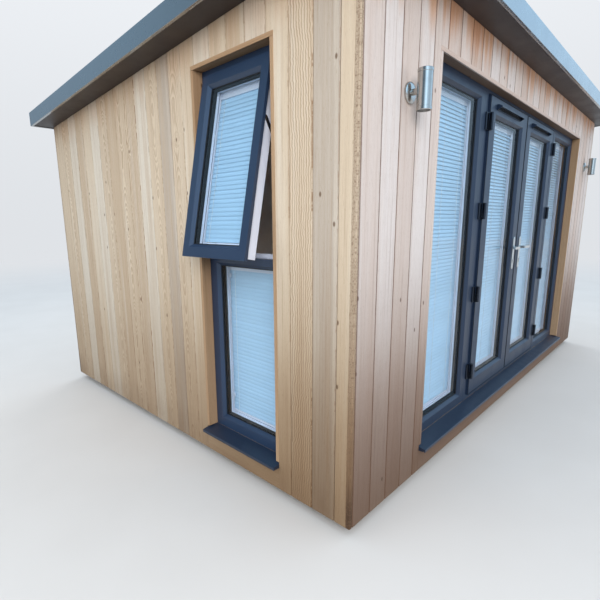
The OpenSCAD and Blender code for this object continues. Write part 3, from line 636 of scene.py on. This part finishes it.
# A darker copy of the frame plastic for the recessed door set: painted shade.
DOOR_SKIN = grained_plastic("door_plastic", (25, 39, 60), 0.42, 0.00008, 0.12, 1.45)
CILL_SKIN = grained_plastic("cill_plastic", (24, 37, 56), 0.40, 0.00008, 0.15)
WHITE_PVC = grained_plastic("white_plastic", (216, 220, 234), 0.30, 0.00004)
FASCIA_SKIN = grained_plastic("fascia_board", (50, 65, 76), 0.24, 0.00003, 1.0, 3.0)
SOFFIT_SKIN = grained_plastic("soffit_board", (50, 42, 42), 0.42, 0.00008)
RUBBER = plain_rough("rubber_seal", (24, 24, 26), (16, 16, 18), 160.0, 0.62, 0.0001)
DARK = plain_rough("shadow_black", (14, 14, 15), (10, 10, 11), 90.0, 0.9, 0.0001)
HINGE = satin_metal("hinge_metal", (58, 62, 70), 0.38, (900.0, 900.0, 900.0), 0.00004)
HANDLE = satin_metal("handle_metal", (214, 214, 212), 0.22, (120.0, 120.0, 900.0), 0.00005)
STEEL = satin_metal("stainless", (186, 184, 180), 0.20, (900.0, 900.0, 14.0), 0.00002)
ROOF_SKIN = plain_rough("roof_skin", (58, 58, 59), (48, 48, 49), 60.0, 0.74, 0.0006)
WALL_PAINT = plain_rough("wall_board", (226, 224, 218), (221, 218, 212), 120.0, 0.72, 0.0002)
CHIPBOARD = plain_rough("floor_panel", (128, 106, 78), (84, 66, 46), 85.0, 0.85, 0.0008)
# Pale slats tinted blue: painted reflection of the sky.
SLAT = slat_paint("blind_slats", (172, 205, 232))
CORD = plain_rough("blind_cord", (222, 226, 230), (200, 205, 210), 500.0, 0.7, 0.0001)
GLASS = clear_glass("glazing")
FROSTED = plain_rough("lamp_lens", (196, 200, 202), (170, 174, 178), 40.0, 0.25, 0.0001)


# Cladding

GAP = 0.0011
BEVEL = 0.0032
TONGUE = 0.010


def clad_section(a0, a1, left=True, right=True, thick=CLAD):
    """Section of a board with bevelled, tongued edges, or plain where it was cut."""
    out = [(a0, thick)]
    if left:
        out += [(a0, TONGUE), (a0 + GAP, TONGUE), (a0 + GAP, BEVEL), (a0 + GAP + BEVEL, 0.0)]
    else:
        out += [(a0, 0.0)]
    if right:
        out += [(a1 - GAP - BEVEL, 0.0), (a1 - GAP, BEVEL), (a1 - GAP, TONGUE), (a1, TONGUE)]
    else:
        out += [(a1, 0.0)]
    out += [(a1, thick)]
    return out


def groove_marks(section):
    """One for each face of the section that lies in the joint between two boards."""
    marks = []
    for (_, d0), (_, d1) in zip(section, section[1:] + section[:1]):
        marks.append(1.0 if 0.0001 < max(d0, d1) <= TONGUE + 0.0001 else 0.0)
    return marks


def edges_of(spans):
    """Board edges from (start, end, number of boards) stretches."""
    out = [spans[0][0]]
    for a, b, n in spans:
        out += [a + (b - a) * (k + 1) / n for k in range(n)]
    return out


TONES = {"p": (0.04, 0.16), "h": (0.34, 0.48), "b": (0.60, 0.72), "g": (0.90, 1.0),
         "r": (0.40, 0.48)}

# The timber of each board from the front corner back: pale, honey, brown or grey; capitals
# have a flat-sawn figure, and one of rippled grain is "r". Where the letters end, boards are
# drawn from the third row.
LEFT_KINDS = "hgrhpbhphHgHprHbHphrpHh"
FRONT_KINDS = "bhphphbhbhphphbhpbhphphbhphphbhph"
ANY_KINDS = "phhbgphbHr"


def choose_board(build, kinds, k):
    """Tone, figure and seed of one board."""
    kind = kinds[k] if k < len(kinds) else rng.choice(ANY_KINDS)
    lo, hi = TONES[kind.lower()]
    build.tone = rng.uniform(lo, hi)
    build.figure = 0.5 if kind == "r" else 1.0 if kind.isupper() else 0.0
    build.new_board()


def clad_wall(build, place, spans, top, opening=None, kinds=""):
    """Upright boards, notched round an opening (across from, to, sill, head)."""
    edges = edges_of(spans)
    narrow = 0.030
    for k, (a0, a1) in enumerate(zip(edges, edges[1:])):
        choose_board(build, kinds, k)
        build.slot = 1 if a1 - a0 < narrow else 0
        cuts = [(a0, a1, 0.0, None)]
        if opening is not None:
            cuts = notched(a0, a1, opening)
        for b0, b1, z0, z1 in cuts:
            section = clad_section(b0, b1, abs(b0 - a0) < 1e-6, abs(b1 - a1) < 1e-6)
            build.bar(place, section, z0, top if z1 is None else z1, (-a0, 0.0),
                      groove_marks(section))


def notched(a0, a1, opening):
    """What is left of a board beside and over an opening."""
    o0, o1, _, head = opening
    out = []
    if a0 < o0 - 1e-6:
        out.append((a0, min(a1, o0), 0.0, None))
    if a1 > o1 + 1e-6:
        out.append((max(a0, o1), a1, 0.0, None))
    b0 = max(a0, o0)
    b1 = min(a1, o1)
    if b1 > b0 + 1e-6:
        out.append((b0, b1, head, None))
    return out


def foot_board(build, place, a0, a1):
    """The level board under a cill."""
    build.tone = rng.uniform(0.35, 0.6)
    build.figure = 0.0
    build.new_board()
    build.slot = 0
    section = clad_section(0.0, CILL_Z, False, False)
    build.bar(turned_level(place), section, a0 + GAP, a1 - GAP)


def side_top(y, _):
    return soffit_z(y) + TOP


def front_top(_, d):
    return soffit_z(d) + TOP


def rear_top(_, d):
    return soffit_z(D - d) + TOP


def clad(name, place, spans, top, opening=None, kinds="", wood=(CEDAR, CEDAR_ROUGH)):
    """All boards of one wall, with the level board under its opening."""
    b = Build()
    if opening is not None:
        (a0, a1), head = opening
        opening = (a0 - LINER, a1 + LINER, CILL_Z, head + LINER)
    clad_wall(b, place, spans, top, opening, kinds)
    if opening is not None:
        foot_board(b, place, opening[0], opening[1])
    b.make(name + "_boards", wood, (name + "_cladding",))


def cladding():
    """Front and rear end in thin rough-sawn strips, which cover the side boards' edges."""
    strip = 0.0205
    first = 0.087
    clad("front", on_front, ((0.0, strip, 1), (strip, 0.5625, 4), (0.5625, W - strip, 27),
                             (W - strip, W, 1)), front_top, (DOOR, DOOR_HEAD), FRONT_KINDS,
         (CEDAR_FRONT, CEDAR_ROUGH))
    clad("left", on_left, ((CLAD, first, 1), (first, 1.003, 7), (1.003, 1.364, 3),
                           (1.364, 2.843, 11), (2.843, D - CLAD, 1)), side_top,
         (WIN, WIN_HEAD), LEFT_KINDS, (CEDAR,))
    clad("right", on_right, ((CLAD, first, 1), (first, D - CLAD, 22)), side_top, wood=(CEDAR,))
    clad("rear", on_rear, ((0.0, strip, 1), (strip, W - strip, 31), (W - strip, W, 1)), rear_top)


# Timber linings of the openings

def lining(name, place, span, head, node, tones, wood):
    """Boards on both sides of an opening and over it; the head's own last timber is painted shade
    over the door.
    """
    b = Build()
    a0, a1 = span
    front = -0.002
    edge = 0.006
    for x0, x1, tone, slot in ((a0 - LINER, a0, tones[0], 0), (a1, a1 + LINER, tones[1], 1)):
        b.tone = tone
        b.slot = slot if len(wood) > 1 else 0
        b.new_board()
        b.bar(place, oblong(x0, x1, front, WALL), FLOOR, head - GAP, (b.seed, b.seed))
    b.tone = tones[2]
    b.new_board()
    # Behind its front edge the head's underside takes the last material: painted shade over the
    # door.
    for d0, d1, slot in ((front, edge, 0), (edge, WALL, len(wood) - 1)):
        b.slot = slot
        b.bar(turned_level(place), oblong(head, head + LINER, d0, d1), a0 - LINER, a1 + LINER,
              (b.seed, b.seed))
    b.make(name, wood, (node,), bevel=0.0012)


# Frames, glass and seals

def cut(place, depth):
    """A plane at one depth of a wall, facing into the room."""
    at = place(0.2, depth, -0.4)
    beyond = place(0.2, depth + 1.0, -0.4)
    return Vector(at) + CORNER, Vector([q - p for p, q in zip(at, beyond)])


def depth_rule(limit):
    """Grey outside and white from a depth inwards, for frames in the front wall."""
    def rule(p):
        return 1 if p.y > limit else 0
    return rule


def window_rule(p):
    """White in the rebate that takes the sash, and on the room side."""
    edge = 0.040
    inside = WIN[0] + edge < p.y < WIN[1] - edge
    rebate = inside and TRANSOM - 0.001 < p.z < WIN_HEAD - edge
    return 1 if p.x > FACE + (REBATE if rebate else WHITE_IN) else 0


def sash_rule(p):
    """The sash's own edge is white behind its flange; round the glass only the room side is."""
    x = p.x - SASH_FACE
    z = p.z - SASH_TOP
    d = x * SASH_COS - z * SASH_SIN
    h = x * SASH_SIN + z * SASH_COS
    a = p.y - SASH_Y
    edge = 0.045
    outside = a < edge or a > SASH_W - edge or h > -edge or h < edge - SASH_H
    return 1 if d > (SASH_LIP if outside else SASH_WHITE) else 0


def glazing_unit(glass, seals, place, a, z, back):
    """A sealed unit with the spacer bar inside its edge, and a gasket on each side."""
    bite = 0.012
    slack = 0.001
    lo = (a[0] - bite, a[1] + bite)
    hi = (z[0] - bite, z[1] + bite)
    glass.box(place, lo, (back, back + GLASS_T), hi)
    wide = bite + 0.006
    pane = 0.0042
    inside = (back + pane, back + GLASS_T - pane)
    seals.slot = 1
    seals.ring(place, lo, hi, oblong(0.0005, wide, *inside))
    seals.slot = 0
    edge = (a[0] - slack, a[1] + slack)
    height = (z[0] - slack, z[1] + slack)
    for face, sign in ((back, -1), (back + GLASS_T, 1)):
        seals.ring(place, edge, height, [(0.0, face), (0.0, face + sign * 0.0021),
                                         (0.0015, face + sign * 0.0035),
                                         (0.004, face + sign * 0.0025), (0.005, face)])


def inner_of(a, z, sight):
    return (a[0] + sight, a[1] - sight), (z[0] + sight, z[1] - sight)


def panes(name, body, node, units, leaf=None):
    """The sealed units of one node with their seals, and a black seal with painted shadow round a
    leaf's face.
    """
    glass = Build()
    seals = Build()
    for place, a, z, sight, back in units:
        glazing_unit(glass, seals, place, *inner_of(a, z, sight), back)
    glass.make(name + "_panes", [GLASS], (node,), body)
    if leaf is not None:
        # Black ring round the leaf's face: painted shadow in the gap between leaf and frame, as
        # well as a seal.
        seals.slot = 1
        seals.ring(on_front, leaf, LEAF_Z, [(0.0003, LEAF_FACE + 0.003),
                                            (0.0003, LEAF_FACE - 0.0004),
                                            (0.0012, LEAF_FACE - 0.0009),
                                            (0.0050, LEAF_FACE - 0.0009),
                                            (0.0058, LEAF_FACE + 0.003)])
    seals.make(name + "_seals", [RUBBER, DARK], body=body)


def glazing():
    back = FACE + GLASS_IN
    height = (FLOOR, DOOR_HEAD)
    panes("sidelight", "building", "sidelight_glass",
          [(on_front, a, height, SIGHT, back) for a in SIDES])
    panes("window", "building", "window_glass",
          [(on_left, WIN, (FLOOR, LIGHT_TOP), SIGHT, back),
           (on_sash, (0.0, SASH_W), (-SASH_H, 0.0), SASH_SIGHT, 0.020)])
    for side, a in LEAVES:
        panes(side, side + "_door", side + "_leaf_glass",
              [(on_front, a, LEAF_Z, LEAF_SIGHT, LEAF_FACE + GLASS_IN)], a)


def frames():
    door = [DOOR_SKIN, WHITE_PVC]
    window = [ANTHRACITE, WHITE_PVC]
    deep = FACE + WHITE_IN
    for node, name in (("sidelight_frames", "sidelight_profiles"), ("door_frame", "door_profiles")):
        redone(node, name, door, cuts=[cut(on_front, deep)],
               rule=depth_rule(deep))
    for node in ("door_cill", "window_cill"):
        redone(node, node + "_bar", [CILL_SKIN])
    redone("window_frame", "window_profiles", window,
           cuts=[cut(on_left, FACE + REBATE), cut(on_left, deep)], rule=window_rule)
    redone("window_sash", "sash_profiles", window,
           cuts=[cut(on_sash, SASH_LIP), cut(on_sash, SASH_WHITE)], rule=sash_rule)
    deep = LEAF_FACE + WHITE_IN
    for side, _ in LEAVES:
        redone(side + "_leaf", side + "_profiles", door, side + "_door",
               cuts=[cut(on_front, deep)], rule=depth_rule(deep))


# Blinds

def slat_section(tilt):
    """Curved strip seen from its end, as (depth, height) about its middle."""
    width = 0.025
    crown = 0.0028
    thick = 0.0005
    steps = 6
    upper = []
    lower = []
    c = math.cos(tilt)
    s = math.sin(tilt)
    for k in range(steps + 1):
        u = width * (k / steps - 0.5)
        lift = crown * (1 - (2 * u / width) ** 2)
        upper.append((u * c - lift * s, u * s + lift * c))
        lower.append((u * c - (lift - thick) * s, u * s + (lift - thick) * c))
    return upper + lower[::-1]


def slats(b, place, a, z, mid, tilt):
    pitch = 0.0216
    n = max(2, int((z[1] - z[0]) / pitch))
    step = (z[1] - z[0]) / n
    level = turned_level(place)
    for k in range(n):
        b.tone = rng.random()
        lean = tilt + rng.uniform(-0.03, 0.03)
        zc = z[0] + (k + 0.5) * step
        section = [(zc + h, mid + d) for d, h in slat_section(lean)]
        b.bar(level, section, a[0] + rng.uniform(0.0, 0.0015), a[1])


def ladders(b, place, a, z, mid):
    """Pairs of thin cords that hold the slats, with a lift cord between them."""
    width = a[1] - a[0]
    count = 2 if width < 0.5 else 3
    r = 0.0007
    for k in range(count):
        x = a[0] + width * (0.12 + 0.76 * k / (count - 1))
        for d in (mid - 0.0072, mid + 0.0110):
            b.box(place, (x - r, x + r), (d - r, d + r), z)
        b.box(place, (x - 0.0012, x + 0.0012), (mid - 0.0004, mid + 0.0004), z)


def blind(name, body, node, place, a, z, back, tilt):
    """Head box, slats, ladder cords and bottom rail inside a slim white frame."""
    b = Build()
    rim = 0.008
    head = 0.026
    edge = 0.010
    deep = back + 0.024
    a, z = inner_of(a, z, edge)
    b.slot = 1
    b.ring(place, a, z, [(0.0, back), (rim, back), (rim, back + 0.003), (rim - 0.003, back + 0.005),
                         (rim - 0.003, deep), (0.0, deep)])
    ia = (a[0] + rim, a[1] - rim)
    top = z[1] - rim
    level = turned_level(place)
    b.bar(level, [(top, back + 0.003), (top - head, back + 0.003), (top - head, back + 0.006),
                  (top - head + 0.004, deep - 0.001), (top, deep - 0.001)], ia[0], ia[1])
    low = z[0] + rim + 0.013
    b.bar(level, [(low, back + 0.004), (low - 0.010, back + 0.005), (low - 0.013, back + 0.008),
                  (low - 0.013, back + 0.018), (low, back + 0.020)], ia[0] + 0.001, ia[1] - 0.001)
    b.slot = 0
    mid = back + 0.0080
    slats(b, place, (ia[0] + 0.0015, ia[1] - 0.0015), (low + 0.004, top - head), mid, tilt)
    b.slot = 2
    ladders(b, place, ia, (low, top - head), mid)
    b.make(name, [SLAT, WHITE_PVC, CORD], (node,), body)


def blinds():
    """Tilts in degrees: all nearly closed, and the far side light's half open."""
    back = FACE + FRAME_D
    for k, tilt in enumerate((71, 48)):
        a, z = inner_of(SIDES[k], (FLOOR, DOOR_HEAD), SIGHT - LAP)
        blind("sidelight_blind_" + str(k + 1), "building", "sidelight_blinds", on_front, a, z,
              back, math.radians(tilt))
    shut = math.radians(80)
    a, z = inner_of(WIN, (FLOOR, LIGHT_TOP), SIGHT - LAP)
    blind("window_blind_1", "building", "window_blinds", on_left, a, z, back, shut)
    a, z = inner_of((0.0, SASH_W), (-SASH_H, 0.0), SASH_SIGHT - 0.012)
    blind("window_blind_2", "building", "window_blinds", on_sash, a, z, SASH_D, shut)
    for (side, span), tilt in zip(LEAVES, (64, 58)):
        a, z = inner_of(span, LEAF_Z, LEAF_SIGHT - LAP)
        blind(side + "_blind", side + "_door", side + "_leaf_blind", on_front, a, z,
              LEAF_FACE + LEAF_D, math.radians(tilt))


# Roof edge, soffit and covering

def sloping(a, d, y):
    return (a, y, soffit_z(y) + d)


def soffit_boards():
    """One strip under each overhang."""
    b = Build()
    x0, x1 = ROOF_X
    y0, y1 = ROOF_Y
    gap = 0.0002
    chamfer = 0.002

    def level(a, d, x):
        return (x, a, soffit_z(a) + d)

    for place, s0, s1, l0, l1 in ((level, y0, 0.0, x0, x1), (level, D, y1, x0, x1),
                                  (sloping, x0, 0.0, gap, D - gap),
                                  (sloping, W, x1, gap, D - gap)):
        section = [(s0, TOP), (s0, 2 * chamfer), (s0 + chamfer, 0.0), (s1 - chamfer, 0.0),
                   (s1, 2 * chamfer), (s1, TOP)]
        b.bar(place, section, l0, l1)
    b.make("soffit_boards", [SOFFIT_SKIN], ("soffit",))


def roof_top():
    """Rubber sheet with lapped seams, and an edge trim all round."""
    b = Build()
    x0, x1 = ROOF_X
    y0, y1 = ROOF_Y
    lift = 0.092
    half = 0.050

    b.bar(sloping, oblong(x0, x1, lift, lift + 0.0022), y0, y1)
    seams = 3
    for k in range(seams):
        x = x0 + (x1 - x0) * (k + 1) / (seams + 1)
        low = lift + 0.0020
        high = lift + 0.0036
        b.bar(sloping, [(x - half, low), (x + half, low), (x + half - 0.0015, high),
                        (x - half + 0.0015, high)], y0 + 0.03, y1 - 0.03)
    trim = [(0.0, 0.0020), (0.038, 0.0020), (0.034, 0.0046), (0.003, 0.0050), (0.0, 0.0048)]
    for xa, sign in ((x0, 1), (x1, -1)):
        b.bar(sloping, [(xa + sign * u, lift + h) for u, h in trim], y0, y1)
    for ya, sign in ((y0, 1), (y1, -1)):
        low = [(x0, ya + sign * u, soffit_z(ya + sign * u) + lift + h) for u, h in trim]
        high = [(x1, p[1], p[2]) for p in low]
        uv = [(p[1], p[2]) for p in low]
        b.prism(low, high, uv, uv)
    b.make("roof_sheet", [ROOF_SKIN], ("roof_covering",))


# Floor and base

def along_x(a, d, x):
    return (x, a, d)


def floor_boards():
    """Rows of planks, each row starting a third further back than the last."""
    b = Build()
    wide = 0.192
    long = 1.285
    thick = 0.022
    edge = 0.0006
    gap = 0.0002
    y = FACE
    row = 0
    while y < D - CLAD - 0.01:
        y1 = min(y + wide, D - CLAD)
        x = FACE - 0.40 * (row % 3)
        while x < W - CLAD - 0.01:
            b.tone = rng.uniform(0.1, 0.8)
            b.new_board()
            section = [(y, FLOOR - thick), (y, FLOOR - edge), (y + edge, FLOOR),
                       (y1 - edge, FLOOR), (y1, FLOOR - edge), (y1, FLOOR - thick)]
            b.bar(along_x, section, max(x, FACE) + gap, min(x + long, W - CLAD) - gap,
                  (b.seed, b.seed))
            x += long
        y = y1
        row += 1
    b.make("floor_planks", [LAMINATE], ("floor_deck",))


def base():
    b = Build()
    count = 7
    wide = 0.095
    under = -0.050
    over = 0.028
    x0 = 0.060
    y0 = 0.040
    step = (D - 2 * y0 - wide) / (count - 1)
    for k in range(count):
        y = y0 + k * step
        b.tone = rng.uniform(0.2, 0.8)
        b.new_board()
        b.bar(along_x, oblong(y, y + wide, under, over), x0, W - x0, (b.seed, b.seed))
    b.make("bearers", [SAWN], ("base_bearers",), bevel=0.002)
    redone("floor_panel", "floor_slab", [CHIPBOARD], bevel=0.002)


# Ironmongery and lights

def small_screw(b, origin, axis, r=0.0032):
    b.lathe(origin, axis, [(0.0, -0.0004), (r * 0.42, -0.0004), (r * 0.46, 0.0006),
                           (r * 0.86, 0.0009), (r, 0.0003), (r, -0.001)], 20)


def ironwork(node, name, skin, bevel, body="building"):
    redone(node, name, [skin], body, bevel, segments=3)


def hardware():
    """Hinges, handles, vents, stays and lamps: the solids with their edges eased."""
    ironwork("hinge_frame_side", "hinge_frame_leaves", HINGE, 0.0012)
    for side, _ in LEAVES:
        body = side + "_door"
        ironwork(side + "_leaf_hinges", side + "_hinge_leaves", HINGE, 0.0012, body)
        ironwork(side + "_handle_plates", side + "_handle_backs", HANDLE, 0.0010,
                 body)
        ironwork(side + "_lever", side + "_lever_pair", HANDLE, 0.0022,
                 side + "_handle")
        redone(side + "_leaf_vent", side + "_vent_hood", [DOOR_SKIN], body,
               bevel=0.0009)
    redone("window_stays", "stays", [STEEL], bevel=0.0004)
    ironwork("wall_lights", "lamp_bodies", STEEL, 0.0006)


def vent_slots():
    """Dark air slots in the back plate under each hood: painted shade in the openings."""
    z = LEAF_Z[1] - VENT_DOWN
    slot = 0.024
    pitch = 0.030
    for side, a in LEAVES:
        b = Build()
        x = a[0] + VENT_IN + 0.016
        while x < a[0] + VENT_IN + VENT_L - 0.036:
            # Each slot is a thin black sheet: painted shade.
            b.box(on_front, (x, x + slot), (LEAF_FACE - 0.0046, LEAF_FACE - 0.0041),
                  (z + 0.003, z + 0.020))
            x += pitch
        b.make(side + "_vent_slots", [DARK], body=side + "_door")


def lock_faces():
    """Key slot in each lock cylinder, and the screws of the handle plates."""
    plate = 0.0079
    z = HANDLE_Z - 0.092
    outer = LEAF_FACE - 0.012
    for side, x in HANDLE_X:
        b = Build()
        # The key slot is a black sliver: painted shade in the opening.
        b.slot = 1
        b.box(on_front, (x - 0.0007, x + 0.0007), (outer - 0.0003, outer + 0.001),
              (z - 0.0040, z + 0.0040))
        b.slot = 0
        for dz in (0.066, -0.143):
            small_screw(b, (x, LEAF_FACE - plate, HANDLE_Z + dz), (0.0, -1.0, 0.0))
            small_screw(b, (x, LEAF_FACE + LEAF_D + plate, HANDLE_Z + dz), (0.0, 1.0, 0.0))
        b.make(side + "_lock_face", [HANDLE, DARK], body=side + "_door")


def lamps():
    """Lenses in the tube ends, and the wall plate's screws."""
    b = Build()
    lens = LAMP_HALF - 0.0085
    for x in LAMP_X:
        b.slot = 0
        for sign in (-1, 1):
            b.lathe((x, -LAMP_OUT, LAMP_Z + sign * lens), (0.0, 0.0, sign),
                    [(0.0, 0.002), (0.018, 0.0015), (0.0252, 0.0), (0.0252, -0.002)], 48)
        b.slot = 1
        for dx in (-0.030, 0.030):
            small_screw(b, (x + dx, -0.0150, LAMP_Z), (0.0, -1.0, 0.0), 0.0028)
    b.make("lamp_lenses", [FROSTED, STEEL])


def tassel(b, top, length):
    """A cord that ends in a flared grip with a small knot under it."""
    x, y, z = top
    b.slot = 1
    b.lathe((x, y, z - length), (0.0, 0.0, 1.0), [(0.0008, 0.0), (0.0008, length)], 8)
    b.slot = 0
    bell = [(0.0, 0.034), (0.0022, 0.033), (0.0034, 0.026), (0.0052, 0.014), (0.0088, 0.002),
            (0.0094, -0.002), (0.0082, -0.004), (0.0070, -0.001), (0.0, 0.002)]
    b.lathe((x, y, z - length - 0.034), (0.0, 0.0, 1.0), bell, 28)
    knot = [(0.0, 0.005), (0.0034, 0.0035), (0.0048, 0.0), (0.0034, -0.0035), (0.0, -0.005)]
    b.lathe((x, y, z - length - 0.047), (0.0, 0.0, 1.0), knot, 20)


def cord_grips():
    """White cord grips that hang between the blinds and the glass."""
    b = Build()
    far = SASH_W - SASH_SIGHT - 0.0100
    tassel(b, on_sash(far, 0.0590, -SASH_SIGHT - 0.20), 0.50)
    b.make("window_cord_grip", [WHITE_PVC, CORD])
    b = Build()
    right = LEAVES[0][1][1] - LEAF_SIGHT - 0.0100
    tassel(b, (right, LEAF_FACE + 0.0600, LEAF_Z[1] - LEAF_SIGHT - 0.002), 0.020)
    b.make("left_cord_grip", [WHITE_PVC, CORD], body="left_door")


def blind_clips():
    """Small white clips that hold the side trim of the lower window blind."""
    b = Build()
    y = WIN[1] - SIGHT - 0.003
    for z in (LIGHT_TOP - SIGHT - 0.060, FLOOR + SIGHT + 0.110):
        profile = [(z - 0.012, 0.0), (z - 0.009, -0.005), (z + 0.009, -0.005), (z + 0.012, 0.0)]
        section = [(c, FACE + FRAME_D + d) for c, d in profile]
        b.bar(turned_level(on_left), section, y - 0.020, y)
    b.make("blind_clips", [WHITE_PVC], bevel=0.0008)


# Stage, camera and light

def camera():
    """Fitted to the photograph's edges; the lens centre is given in pixels of 600 by 600."""
    focal = 424.4455
    centre = (286.776, 308.378)
    yaw = 0.80426768
    pitch = -0.20054854
    roll = -0.00958642
    size = 600.0
    eye = (-3.49475, -2.44850, 1.37937)
    fwd = Vector((math.sin(yaw) * math.cos(pitch), math.cos(yaw) * math.cos(pitch),
                  math.sin(pitch)))
    right0 = Vector((math.cos(yaw), -math.sin(yaw), 0.0))
    up0 = right0.cross(fwd)
    right = right0 * math.cos(roll) + up0 * math.sin(roll)
    up = up0 * math.cos(roll) - right0 * math.sin(roll)
    data = bpy.data.cameras.new("camera")
    data.sensor_width = 36.0
    data.lens = 36.0 * focal / size
    data.shift_x = (size / 2 - centre[0]) / size
    data.shift_y = (centre[1] - size / 2) / size
    data.clip_start = 0.05
    data.clip_end = 200.0
    obj = placed("camera", data)
    turn = Matrix((right, up, -fwd)).transposed().to_4x4()
    obj.matrix_world = Matrix.Translation(eye) @ turn
    bpy.context.scene.camera = obj


def area_light(name, place, aim, size, power, colour=(1.0, 0.985, 0.965)):
    data = bpy.data.lights.new(name, "AREA")
    data.shape = "RECTANGLE"
    data.size = size[0]
    data.size_y = size[1]
    data.energy = power
    data.spread = math.radians(105)
    data.color = colour
    obj = placed(name, data)
    obj.location = place
    obj.rotation_euler = (Vector(aim) - Vector(place)).to_track_quat("-Z", "Y").to_euler()
    obj.visible_glossy = False


def direction(t):
    return t.split(t.new("TexCoord").outputs["Generated"])


def sky(t, colour, low, high):
    """A background that grows brighter with height."""
    level = t.span(direction(t)[2], -0.05, 0.75, low, high)
    return t.fed("Background", {"Color": colour, "Strength": level})


def mirrored_sky(t):
    """What glass and metal mirror: paler at the horizon, and uneven from side to side."""
    x, y, z = direction(t)
    height = t.span(z, -0.02, 0.35, easing="LINEAR")
    tint = t.mix(height, (0.68, 0.84, 1.0, 1.0), (0.50, 0.75, 1.0, 1.0))
    round_about = t.math("ARCTAN2", y, x)
    broad = t.math("COSINE", t.plus(round_about, math.radians(20.0)))
    narrow = t.math("SINE", t.mul(round_about, 7.0))
    ahead = t.math("COSINE", t.plus(round_about, math.radians(128.0)))
    patch = t.math("POWER", t.math("MAXIMUM", ahead, 0.0), 14.0)
    level = t.plus(t.mul(broad, 0.60), t.mul(narrow, 0.14))
    level = t.plus(t.plus(level, t.mul(patch, 2.20)), 0.95)
    level = t.mul(t.span(z, -0.05, 0.40, 0.60, 1.0), level)
    return t.fed("Background", {"Color": tint, "Strength": level})


def world():
    """Even, cool light from above; a pale backdrop is seen, and a cooler one is mirrored."""
    scene = bpy.context.scene
    scene.world = bpy.data.worlds.new("studio")
    t = Tree("studio", scene.world)
    lit = sky(t, (0.76, 0.88, 1.0, 1.0), 0.14, 1.70)
    seen = sky(t, PALE, PALE_LOW, 0.98)
    path = t.new("LightPath").outputs
    shown = t.math("MAXIMUM", path["Is Camera Ray"], path["Is Transmission Ray"])
    unseen = t.either(path["Is Glossy Ray"], lit, mirrored_sky(t))
    t.link(t.either(shown, unseen, seen).outputs[0], t.out)


def ground():
    """Pale floor that keeps the shadow, throws little light back and fades to the backdrop."""
    t = Tree("studio_floor")
    path = t.new("LightPath").outputs
    soft = t.noise(t.place(), scale=1.4, detail=3.0)
    body = t.mix(t.span(soft, 0.3, 0.7), (0.580, 0.540, 0.505, 1.0), (0.600, 0.560, 0.525, 1.0))
    body = t.mix(path["Is Diffuse Ray"], body, (0.10, 0.095, 0.085, 1.0))
    floor = t.fed("BsdfPrincipled", {"Base Color": body, "Roughness": 0.85})
    haze = t.fed("Emission", {"Color": PALE, "Strength": PALE_LOW})
    away = t.fed("VectorMath", {0: t.place()}, operation="LENGTH").outputs["Value"]
    shown = t.math("MAXIMUM", path["Is Camera Ray"], path["Is Glossy Ray"])
    share = t.mul(t.span(away, 5.0, 16.0), shown)
    t.link(t.either(share, floor, haze).outputs[0], t.out)
    mesh = bpy.data.meshes.new("studio_floor")
    r = 30.0
    mesh.from_pydata([(-r, -r, 0.0), (r, -r, 0.0), (r, r, 0.0), (-r, r, 0.0)], [],
                     [(0, 1, 2, 3)])
    mesh.materials.append(t.owner)
    obj = placed("studio_floor", mesh)


def light():
    area_light("key", (-6.2, -5.4, 3.4), (-0.8, -0.6, 1.3), (3.6, 3.6), 122.0)
    area_light("side", (-7.5, 1.6, 2.1), (-1.5, 0.3, 1.8), (3.0, 3.0), 33.0)
    area_light("front", (2.6, -7.5, 1.6), (0.8, -1.5, 2.0), (4.0, 2.0), 47.0,
               (1.0, 0.985, 0.975))
    area_light("back", (4.5, 5.5, 5.0), (0.0, 0.5, 1.2), (4.0, 3.0), 60.0, (1.0, 0.985, 0.97))
    area_light("room", (0.0, 0.1, 2.10), (0.0, 0.1, 0.0), (1.8, 1.2), 5.0, (1.0, 0.92, 0.88))


def painted():
    """Wall board on the solids that show as they are, inside."""
    for node in ("front_wall", "left_wall", "right_wall", "rear_wall", "roof_panel"):
        NODE[node].data.materials.clear()
        NODE[node].data.materials.append(WALL_PAINT)


def building():
    cladding()
    lining("door_lining", on_front, DOOR, DOOR_HEAD, "door_reveal", (0.45, 0.35, 0.62),
           (CEDAR_FRONT, CEDAR_FRESH, CEDAR_SHADED))
    lining("window_lining", on_left, WIN, WIN_HEAD, "window_reveal", (0.35, 0.55, 0.45),
           (CEDAR_FRESH,))
    frames()
    glazing()
    blinds()
    soffit_boards()
    roof_top()
    redone("fascia", "fascia_boards", [FASCIA_SKIN], bevel=0.0015)
    floor_boards()
    base()
    hardware()
    vent_slots()
    lock_faces()
    lamps()
    cord_grips()
    blind_clips()
    painted()


bpy.context.scene.view_settings.view_transform = "Standard"
camera()
world()
ground()
light()
building()
